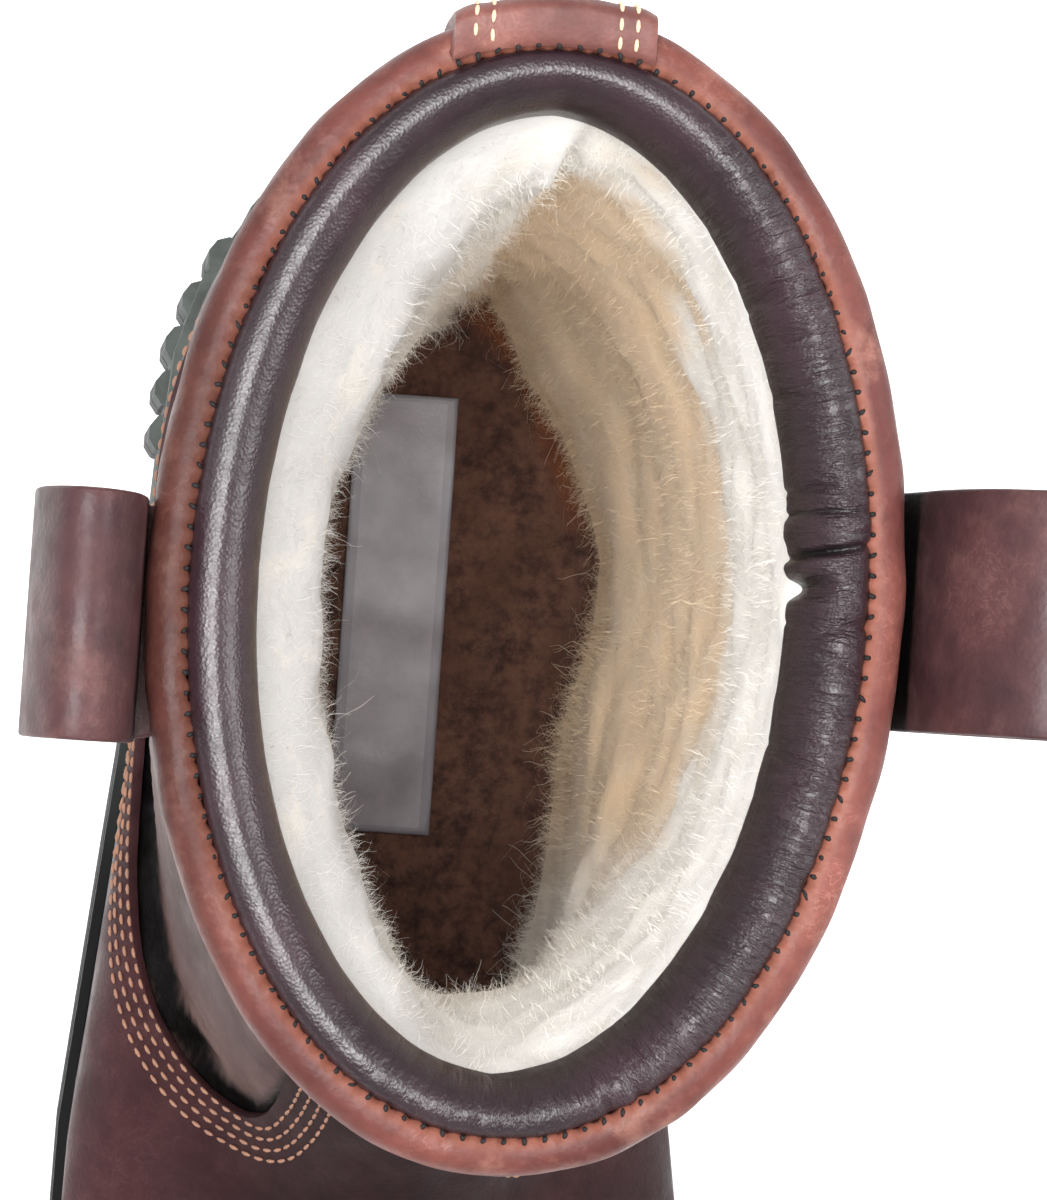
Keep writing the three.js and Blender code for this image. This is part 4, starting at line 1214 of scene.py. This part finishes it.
def make_hairs():
    """Fine curled fibres that stand out of the pile."""
    lining = bpy.data.objects["pile_lining"]
    rng = np.random.default_rng(11)
    points = object_places(lining)
    corners = np.array([p.vertices[:3] for p in lining.data.polygons])
    a, b, c = points[corners[:, 0]], points[corners[:, 1]], points[corners[:, 2]]
    normal = np.cross(b - a, c - a)
    area = np.linalg.norm(normal, axis=1)
    normal /= area[:, None] + 1e-9
    seen = (a[:, 2] > 44) & (a[:, 1] > -125) & (a[:, 2] < 258)
    foot = 1 - soft_step(a[:, 2], 52, 80)
    rel = a[:, 1] - COLLAR_Y
    seam = np.exp(-((a[:, 0] - seam_across(a[:, 2])) / 3) ** 2) * (rel > 20)
    count = bpy.context.scene.boot.fibres
    for part in range(FIBRE_PARTS + 1):
        long = part == FIBRE_PARTS
        weight = area * seen * (1 + 4 * foot + 3 * seam)
        if long:
            weight = weight * (a[:, 2] < 235) * (0.2 + 1.5 * foot + seam + (rel < -30) * foot)
            count = count // 4
        pick = rng.choice(len(area), count, p=weight / weight.sum())
        r1, r2 = np.sqrt(rng.random(count)), rng.random(count)
        root = a[pick] * (1 - r1)[:, None] + b[pick] * (r1 * (1 - r2))[:, None]
        root = root + c[pick] * (r1 * r2)[:, None]
        reach = rng.uniform(5, 12, count) if long else rng.uniform(2.0, 5.2, count)
        curl = rng.uniform(1.2, 4.5, count) if long else rng.uniform(0.8, 3.4, count)
        steps = LONG_STEPS if long else SHORT_STEPS
        fibres = fibre_points(rng, root, normal[pick], reach, curl, steps)
        obj = joined_copies("pile_fibres_" + "abcd"[part], fibre_template(steps), fibres, "fibre")
        set_attribute(obj, "tan", np.repeat(tan_and_shade_share(root), fibres.shape[1]))


def fibre_template(steps):
    bm = bmesh.new()
    bmesh.ops.create_grid(bm, x_segments=1, y_segments=steps, size=0.5)
    return bm


def fibre_points(rng, root, normal, length, curl, steps):
    """Each fibre as a narrow curled band, thinner to its tip. Near ones lean the same way."""
    count = len(root)
    lean = np.array([
        [noise.noise(Vector(p) / 10 + Vector((k * 31.7, 0, 0))) for k in range(3)] for p in root
    ])
    start = normal * rng.uniform(0.1, 0.7, (count, 1)) + 2.0 * lean + rng.normal(0, 0.55, (count, 3))
    start /= np.linalg.norm(start, axis=1, keepdims=True)
    up = np.sum(start * normal, axis=1, keepdims=True)
    start += normal * np.maximum(0.2 - up, 0)
    start /= np.linalg.norm(start, axis=1, keepdims=True)
    bend = np.cross(normal, start) * rng.choice([-1, 1], (count, 1)) + 0.35 * normal
    bend -= start * np.sum(bend * start, axis=1, keepdims=True)
    bend /= np.linalg.norm(bend, axis=1, keepdims=True) + 1e-9
    template = fibre_template(steps)
    t = np.array([v.co.y + 0.5 for v in template.verts])
    way = np.array([v.co.x * 2 for v in template.verts])
    template.free()
    angle = curl[:, None] * t[None]
    safe = np.maximum(curl, 1e-3)[:, None]
    forward = (np.sin(angle) / safe)[..., None] * start[:, None]
    sideways = ((1 - np.cos(angle)) / safe)[..., None] * bend[:, None]
    crimp = 0.05 * np.sin(2 * np.pi * (rng.random((count, 1)) + t[None] * steps / 5))
    middle = root[:, None] + length[:, None, None] * (forward + sideways + crimp[..., None] * bend[:, None])
    local = np.cos(angle)[..., None] * start[:, None] + np.sin(angle)[..., None] * bend[:, None]
    side = np.cross(local, np.broadcast_to(normal[:, None], local.shape))
    side /= np.linalg.norm(side, axis=2, keepdims=True) + 1e-9
    width = FIBRE_WIDTH * (1 - 0.7 * t)[None, :, None] * way[None, :, None]
    return middle - 0.3 * normal[:, None] + width * side


INSOLE_LEVEL = 46.0


def make_insole():
    top = WALL + CLEAR + INSOLE
    rows, half_count = 90, 28
    place = np.zeros((rows + 1, 2 * half_count + 1, 3))
    back, front = BACK(INSOLE_LEVEL) + WALL + 1, FRONT(INSOLE_LEVEL) - WALL - 1
    for i in range(rows + 1):
        share = (1 - math.cos(math.pi * i / rows)) / 2
        along = back + (front - back) * share
        z = seat_at(along) + top
        middle, half = upper_at(along, z)
        half = max(half - WALL - CLEAR, 0.0)
        for j in range(2 * half_count + 1):
            across = (j - half_count) / half_count
            spot = Vector((float(middle + across * half), float(y_of(along)), float(z)))
            nap = 0.7 * noise.noise(spot / 7) + 0.5 * noise.noise(spot / 3)
            curl_up = 2.5 * soft_step(abs(across), 0.82, 1.0)
            place[i, j] = (spot.x, spot.y, spot.z + nap + curl_up)
    bm = surface(place)
    face_towards(bm, (0, 0, 1))
    obj = add_object("insole_fleece", bm, "fleece")
    spots = object_places(obj)
    rel = spots[:, 1] - COLLAR_Y
    past_border = soft_step(spots[:, 0] - pile_foot(rel), -6, -2)
    set_attribute(obj, "cut", past_border * soft_step(rel, 14, 26))
    thicken(obj, INSOLE)
    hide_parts("insole")


LABEL_SIZE = (18.5, 79.0)
LABEL_BORDER = 1.6


def make_label():
    """A bare satin label with a stitched border on the insole."""
    bm = bmesh.new()
    bmesh.ops.create_grid(bm, x_segments=24, y_segments=96, size=0.5)
    border = []
    for v in bm.verts:
        u, w = v.co.x, v.co.y
        x = -1.9 - 0.7 * w + u * LABEL_SIZE[0]
        y = COLLAR_Y + 0.5 + w * LABEL_SIZE[1]
        puff = 0.35 * noise.noise(Vector((x, y, 0)) / 9)
        v.co = (x, y, float(seat_at(HEEL_OVERHANG - y)) + WALL + CLEAR + INSOLE + 1.5 + puff)
        inset = min((0.5 - abs(u)) * LABEL_SIZE[0], (0.5 - abs(w)) * LABEL_SIZE[1])
        border.append(1.0 if inset < LABEL_BORDER else 0.0)
    face_towards(bm, (0, 0, 1))
    obj = add_object("insole_label", bm, "label")
    set_attribute(obj, "border", border)
    thicken(obj, 0.5, 0.15)


def make_back_strap():
    """The strap up the heel, hooked over the collar's edge."""
    over_vamp = 2 * CLEAR + VAMP_LEATHER + STAY_LEATHER
    top = EDGE_TOP + CLEAR + STAY_LEATHER
    vamp_top = VAMP_LINE[:30, 1].mean() + 3.5
    path = []
    for z in np.linspace(seat_at(10) + 9, SHAFT_TOP - 4, 90):
        share = soft_step(z, vamp_top + 1, vamp_top - 1)
        out = (CLEAR + STAY_LEATHER) * (1 - share) + over_vamp * share
        out = out + (EDGE_PROUD + 0.2) * soft_step(z, SHAFT_TOP - 16, SHAFT_TOP - 4)
        path.append((out, z))
    inside = EDGE_PROUD - EDGE_WIDTH
    proud = EDGE_PROUD + CLEAR + STAY_LEATHER
    for t in np.linspace(0.08, 1, 16):
        turn = t * math.pi / 2
        rise = (top - SHAFT_TOP - 6) * math.sin(turn)
        path.append((proud - 2.6 * (1 - math.cos(turn)), SHAFT_TOP + 6 + rise))
    path.append((inside + 1.2, top - 0.2))
    path.append((inside + 0.2, top - 1.1))
    steps = 24
    place = np.zeros((len(path), steps + 1, 3))
    for i, (out, z) in enumerate(path):
        points, direction = level_line(z, COLLAR_POINTS)
        order = np.argsort(points[:, 0])
        back = [k for k in order if points[k, 1] > COLLAR_Y]
        xs = points[back, 0]
        for j in range(steps + 1):
            x = STAY_MIDDLE + STAY_WIDTH * (j / steps - 0.5)
            y = np.interp(x, xs, points[back, 1])
            d = np.array([np.interp(x, xs, direction[back, k]) for k in range(3)])
            d /= np.linalg.norm(d)
            edge = abs(j / steps - 0.5) * 2
            raised = 0.5 * math.exp(-((edge - 0.86) / 0.12) ** 2) - 0.25 * (1 - edge ** 4)
            place[i, j] = np.array([x, y, z]) + d * (out + raised * (out > 0))
            place[i, j, 0] = x
    bm = surface(place)
    face_towards(bm, (0, 1, 0.3))
    obj = add_object("back_strap", bm, "stay")
    thicken(obj, STAY_LEATHER, 0.4)
    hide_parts("back_stay")
    tree = tree_of(obj)
    lines = []
    for offset in (-11.2, -8.9, 8.9, 11.2):
        line = place[:, steps // 2].copy()
        line[:, 0] = STAY_MIDDLE + offset
        lines.append(on_surface(tree, evenly(line, 1.0))[0])
    sew("back_strap_stitches", tree, lines, "cream_thread")


def loop_lines(spec):
    """The hole's outline of a pull loop seen along the boot."""
    low = SHAFT_TOP - LOOP_DROP
    high = SHAFT_TOP + LOOP_RISE - LOOP_LEATHER
    start = EDGE_PROUD + 2 * CLEAR + LOOP_LEATHER
    points = []
    for out_share, up in LOOP_LINE:
        z = low + (high - low) * up
        out = start + (spec["reach"] - LOOP_LEATHER - start) * out_share + spec["lean"] * up
        middle, half = upper_at(spec["place"], z)
        points.append((middle + spec["side"] * (half + out), z))
    rows = np.array(points)
    order = np.arange(-1, len(rows) + 2) % len(rows)
    return np.array(smooth_path(rows[order], 10))


def make_loop(name, node, spec):
    line = loop_lines(spec)
    count = len(line)
    steps = 16
    place = np.zeros((count, steps + 1, 3))
    front = y_of(spec["place"]) + LOOP_WIDTH / 2
    for i in range(count):
        for j in range(steps + 1):
            place[i, j] = (line[i, 0], front - LOOP_WIDTH * j / steps, line[i, 1])
    bm = surface(place, wrap_y=True)
    middle = Vector((float(line[:, 0].mean()), y_of(spec["place"]), float(line[:, 1].mean())))
    face_out(bm, lambda point: middle)
    obj = add_object(name, bm, "strap")
    spots = object_places(obj)
    middle, half = upper_at(spec["place"], spots[:, 2])
    gap = (spots[:, 0] - middle) * spec["side"] - half
    inner_leg = gap < 8.5
    # Painted shade: the inner leg, next to the shaft, turns near-black below about 260 mm, where the narrow
    # gap lies in shade.
    set_attribute(obj, "rim", np.where(inner_leg, np.clip(spots[:, 2] - 257, 0, 9), 9.0))
    thicken(obj, LOOP_LEATHER, 0.5, outwards=True)
    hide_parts(node)
    make_tail(name + "_tail", spec)


def make_tail(name, spec):
    """Both ends of a loop, lying one on the other on the shaft."""
    high = SHAFT_TOP - LOOP_DROP + 4
    low = SHAFT_TOP - LOOP_DROP - LOOP_TAIL
    steps, rows = 16, 20
    place = np.zeros((rows + 1, steps + 1, 3))
    for i in range(rows + 1):
        z = low + (high - low) * i / rows
        for j in range(steps + 1):
            along = spec["place"] + LOOP_WIDTH * (j / steps - 0.5)
            middle, half = upper_at(along, z)
            place[i, j] = (middle + spec["side"] * (half + CLEAR + 2 * LOOP_LEATHER), y_of(along), z)
    bm = surface(place)
    face_towards(bm, (spec["side"], 0, 0))
    obj = add_object(name, bm, "strap")
    set_attribute(obj, "rim", np.full(len(obj.data.vertices), 9.0))
    thicken(obj, 2 * LOOP_LEATHER, 0.5)


def make_materials():
    MATERIALS.update(
        # The shaft's near-black rim colour is painted shade beside the vamp's edge.
        shaft=leather("shaft leather", srgb(92, 70, 66), srgb(66, 48, 46), srgb(108, 86, 80),
                      rim=srgb(4, 2, 2), rim_reach=3.6),
        # Painted shade on the vamp: its colour is halved from X = -1.5 cm inwards, and lifted back to 0.9
        # past X = 5.5 cm on the inner side.
        vamp=leather("vamp leather", srgb(64, 37, 39), srgb(44, 26, 29), srgb(84, 56, 55), shine=0.12,
                     sides=((-0.055, -0.015, 0.5), (0.02, 0.055, 1.8))),
        # The straps' near-black rim colour is painted shade on the loops' inner legs.
        strap=leather("strap leather", srgb(88, 56, 57), srgb(56, 35, 37), srgb(124, 88, 84),
                      rim=srgb(4, 3, 3), rim_reach=3.0),
        stay=leather("stay leather", srgb(122, 76, 69), srgb(88, 52, 49), srgb(152, 108, 98)),
        # Painted light and shade on the turned edge: darker, to 0.48, on the outer side past X = -5 cm, and
        # lighter, to 1.2, on the inner side past X = 4.6 cm.
        edge=leather("edge leather", srgb(120, 70, 62), srgb(84, 46, 43), srgb(164, 118, 104),
                     grain=1.1, depth=0.16, wear=0.5, rim=srgb(122, 73, 60), shine=0.2,
                     sides=((-0.034, -0.05, 0.48), (0.03, 0.046, 1.2))),
        # The pad's near-black third colour is painted shade in the wrinkles and the join's creases.
        pad=pad_material("pad leather", srgb(50, 32, 39), srgb(35, 22, 28), srgb(8, 5, 7)),
        # The pile's grey outer-side colour is painted shade; its tan is partly its own colour, partly
        # painted shade.
        pile=pile_material("pile", srgb(247, 244, 239), srgb(226, 198, 162), srgb(230, 219, 201)),
        fibre=pile_material("pile fibres", srgb(228, 225, 220), srgb(214, 197, 172),
                            srgb(214, 204, 188), fibres=True),
        fleece=fleece_material(),
        label=label_material(),
        thread=plain_material("tan thread", srgb(150, 110, 90), 0.75, 0.08, 0.4),
        cream_thread=plain_material("cream thread", srgb(222, 190, 158), 0.75, 0.08, 0.4),
        dark_thread=plain_material("dark thread", srgb(20, 13, 14), 0.75, 0.08, 0.4),
        rubber=plain_material("rubber", srgb(26, 26, 27), 0.6, 0.12, 0.9),
        foam=foam_material(),
    )


def fleece_material():
    """Short brown fleece, orange-brown where its edge is cut at the inner side."""
    n = Nodes("insole fleece")
    tufts = n.noise(4.0, 6, 0.72)
    tone = n.blend(n.ramp(tufts, 0.3, 0.7), srgb(50, 30, 24), srgb(108, 74, 60))
    tone = n.blend(n.ramp(n.noise(16, 3, 0.6), 0.42, 0.66, 0, 0.6), tone, srgb(78, 50, 38))
    tone = n.blend(n.math("MULTIPLY", n.attribute("cut"), n.ramp(tufts, 0.3, 0.6, 0.5, 1)), tone,
                   srgb(112, 62, 34))
    relief = n.math("ADD", n.math("MULTIPLY", tufts, 1.5), n.noise(0.8, 4, 0.7))
    return n.set(colour=tone, rough=0.95, normal=n.bump(relief, 1.1, 0.8), sheen=0.15, specular=0.15)


def label_material():
    """Grey satin with a fine weave and a plain border."""
    n = Nodes("satin label")
    weave = n.noise(0.6, 2, 0.5)
    tone = n.blend(n.ramp(n.noise(9, 3, 0.6), 0.3, 0.7), srgb(108, 102, 106), srgb(128, 121, 125))
    border = n.ramp(n.attribute("border"), 0.4, 0.6)
    tone = n.blend(n.math("MULTIPLY", border, 0.5), tone, srgb(78, 73, 80))
    return n.set(colour=tone, rough=0.42, normal=n.bump(weave, 0.05, 0.5), specular=0.5)


def foam_material():
    """Black moulded sole, with a painted grey sheen round the heel."""
    n = Nodes("sole foam")
    # Painted sheen: the foam turns grey in cloudy patches towards the back, fully from Y = 0 backwards.
    heel = n.math("MULTIPLY", n.ramp(n.along("Y"), -0.1, 0.0), n.ramp(n.noise(8, 4, 0.6), 0.3, 0.6, 0.6, 1))
    tone = n.blend(heel, srgb(10, 10, 11), srgb(88, 93, 90))
    relief = n.math("ADD", n.noise(0.8, 4, 0.6), n.noise(2.4, 2, 0.5))
    return n.set(colour=tone, rough=0.65, normal=n.bump(relief, 0.1, 0.6), specular=0.15)


def make_sole():
    for node, kind in (("outsole", "rubber"), ("midsole", "foam")):
        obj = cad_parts[node]
        for slot in obj.material_slots:
            slot.material = MATERIALS[kind]


CAMERA_PLACE = (-0.0731, -0.06093, 1.0)
CAMERA_LENS = 159.42
CENTRE_OFFSET = (-534.5, -100.0, -5314.0)
CAMERA_ROLL = -4.0
FLOOR_GLOW = 0.3
SKY = 0.45
# Name, place, size and power of each light, and what it looks at.
LIGHTS = (
    ("top light", (-0.3, -0.03, 2.2), 1.5, 72, (0, -0.06, 0.1)),
    ("small top light", (-0.28, -0.16, 2.1), 0.36, 10, (0, -0.06, 0.2)),
    ("outer side light", (-1.6, 0.35, 1.2), 0.8, 3, (0, -0.06, 0.2)),
    ("inner side light", (1.6, 0.1, 1.0), 0.8, 16, (0, -0.06, 0.25)),
)


def make_studio():
    """Camera, floor and soft lights."""
    scene = bpy.context.scene
    down = Vector(CENTRE_OFFSET).normalized()
    turn = down.rotation_difference(Vector((0, 0, -1))).to_matrix()
    roll = Matrix.Rotation(math.radians(-CAMERA_ROLL), 3, "Z")
    camera_data = bpy.data.cameras.new("camera")
    camera_data.sensor_fit = "VERTICAL"
    camera_data.sensor_height = 36
    camera_data.lens = CAMERA_LENS
    camera_data.clip_end = 20
    camera = bpy.data.objects.new("camera", camera_data)
    scene.collection.objects.link(camera)
    camera.matrix_world = Matrix.Translation(CAMERA_PLACE) @ (roll @ turn).to_4x4()
    scene.camera = camera
    bm = bmesh.new()
    bmesh.ops.create_grid(bm, x_segments=1, y_segments=1, size=3)
    mesh = bpy.data.meshes.new("floor")
    bm.to_mesh(mesh)
    bm.free()
    floor = bpy.data.objects.new("floor", mesh)
    scene.collection.objects.link(floor)
    n = Nodes("floor")
    mesh.materials.append(n.set(colour=(0.9, 0.9, 0.9, 1), rough=0.9, glow=FLOOR_GLOW))
    scene.view_settings.view_transform = "Standard"
    world = bpy.data.worlds.new("studio")
    scene.world = world
    world.use_nodes = True
    background = world.node_tree.nodes["Background"]
    background.inputs[0].default_value = (1, 1, 1, 1)
    background.inputs[1].default_value = SKY
    for name, place, size, power, aim in LIGHTS:
        data = bpy.data.lights.new(name, "AREA")
        data.size = size
        data.energy = power
        light = bpy.data.objects.new(name, data)
        scene.collection.objects.link(light)
        light.location = place
        light.rotation_euler = (Vector(aim) - Vector(place)).to_track_quat("-Z", "Y").to_euler()


# Settings that a user would change

class BootSettings(bpy.types.PropertyGroup):
    stitch_length: bpy.props.FloatProperty(
        name="Stitch length", description="Length of a stitch that shows", default=0.0020, unit="LENGTH")
    stitch_pitch: bpy.props.FloatProperty(
        name="Stitch pitch", description="From one stitch to the next", default=0.0027, unit="LENGTH")
    thread: bpy.props.FloatProperty(
        name="Thread", description="Thickness of the sewing thread", default=0.0007, unit="LENGTH")
    crease_depth: bpy.props.FloatProperty(
        name="Crease depth", description="Depth of the leather's creases", default=0.0011, unit="LENGTH")
    fibres: bpy.props.IntProperty(
        name="Fibres", description="Fibres in each part of the pile", default=18000, min=100)


class BOOT_OT_shaft(bpy.types.Operator):
    """Build the shaft's leather"""

    bl_idname = "boot.shaft"
    bl_label = "Shaft leather"

    def execute(self, context):
        make_shaft()
        return {"FINISHED"}


class BOOT_OT_vamp(bpy.types.Operator):
    """Build the vamp and its stitches"""

    bl_idname = "boot.vamp"
    bl_label = "Vamp leather"

    def execute(self, context):
        make_vamp()
        return {"FINISHED"}


class BOOT_OT_edge(bpy.types.Operator):
    """Build the turned edge round the collar"""

    bl_idname = "boot.edge"
    bl_label = "Turned edge"

    def execute(self, context):
        make_edge()
        return {"FINISHED"}


class BOOT_OT_padding(bpy.types.Operator):
    """Build the padded collar"""

    bl_idname = "boot.padding"
    bl_label = "Collar padding"

    def execute(self, context):
        make_padding()
        return {"FINISHED"}


class BOOT_OT_pile(bpy.types.Operator):
    """Build the pile lining and its fibres"""

    bl_idname = "boot.pile"
    bl_label = "Pile lining"

    def execute(self, context):
        make_lining()
        make_hairs()
        return {"FINISHED"}


class BOOT_OT_insole(bpy.types.Operator):
    """Build the insole and its label"""

    bl_idname = "boot.insole"
    bl_label = "Insole"

    def execute(self, context):
        make_insole()
        make_label()
        return {"FINISHED"}


class BOOT_OT_straps(bpy.types.Operator):
    """Build the back strap and the two pull loops"""

    bl_idname = "boot.straps"
    bl_label = "Straps"

    def execute(self, context):
        make_back_strap()
        make_loop("pull_loop_outer", "loop_lateral", OUTER_LOOP)
        make_loop("pull_loop_inner", "loop_medial", INNER_LOOP)
        return {"FINISHED"}


class BOOT_OT_sole(bpy.types.Operator):
    """Finish the outsole and the midsole"""

    bl_idname = "boot.sole"
    bl_label = "Sole"

    def execute(self, context):
        make_sole()
        return {"FINISHED"}


class BOOT_OT_studio(bpy.types.Operator):
    """Set the camera, the floor and the lights"""

    bl_idname = "boot.studio"
    bl_label = "Studio"

    def execute(self, context):
        make_studio()
        return {"FINISHED"}


class BOOT_PT_panel(bpy.types.Panel):
    bl_label = "Boot"
    bl_idname = "BOOT_PT_panel"
    bl_space_type = "VIEW_3D"
    bl_region_type = "UI"
    bl_category = "Boot"

    def draw(self, context):
        settings = context.scene.boot
        for name in settings.bl_rna.properties.keys():
            if name not in ("rna_type", "name"):
                self.layout.prop(settings, name)
        for name in STEPS:
            self.layout.operator("boot." + name)


STEPS = ("studio", "sole", "shaft", "vamp", "edge", "padding", "pile", "insole", "straps")
CLASSES = (
    BootSettings, BOOT_OT_shaft, BOOT_OT_vamp, BOOT_OT_edge, BOOT_OT_padding, BOOT_OT_pile,
    BOOT_OT_insole, BOOT_OT_straps, BOOT_OT_sole, BOOT_OT_studio, BOOT_PT_panel,
)


def register():
    for kind in CLASSES:
        bpy.utils.register_class(kind)
    bpy.types.Scene.boot = bpy.props.PointerProperty(type=BootSettings)


def unregister():
    del bpy.types.Scene.boot
    for kind in reversed(CLASSES):
        bpy.utils.unregister_class(kind)


def main():
    register()
    make_materials()
    for name in STEPS:
        getattr(bpy.ops.boot, name)()


if __name__ == "__main__":
    main()
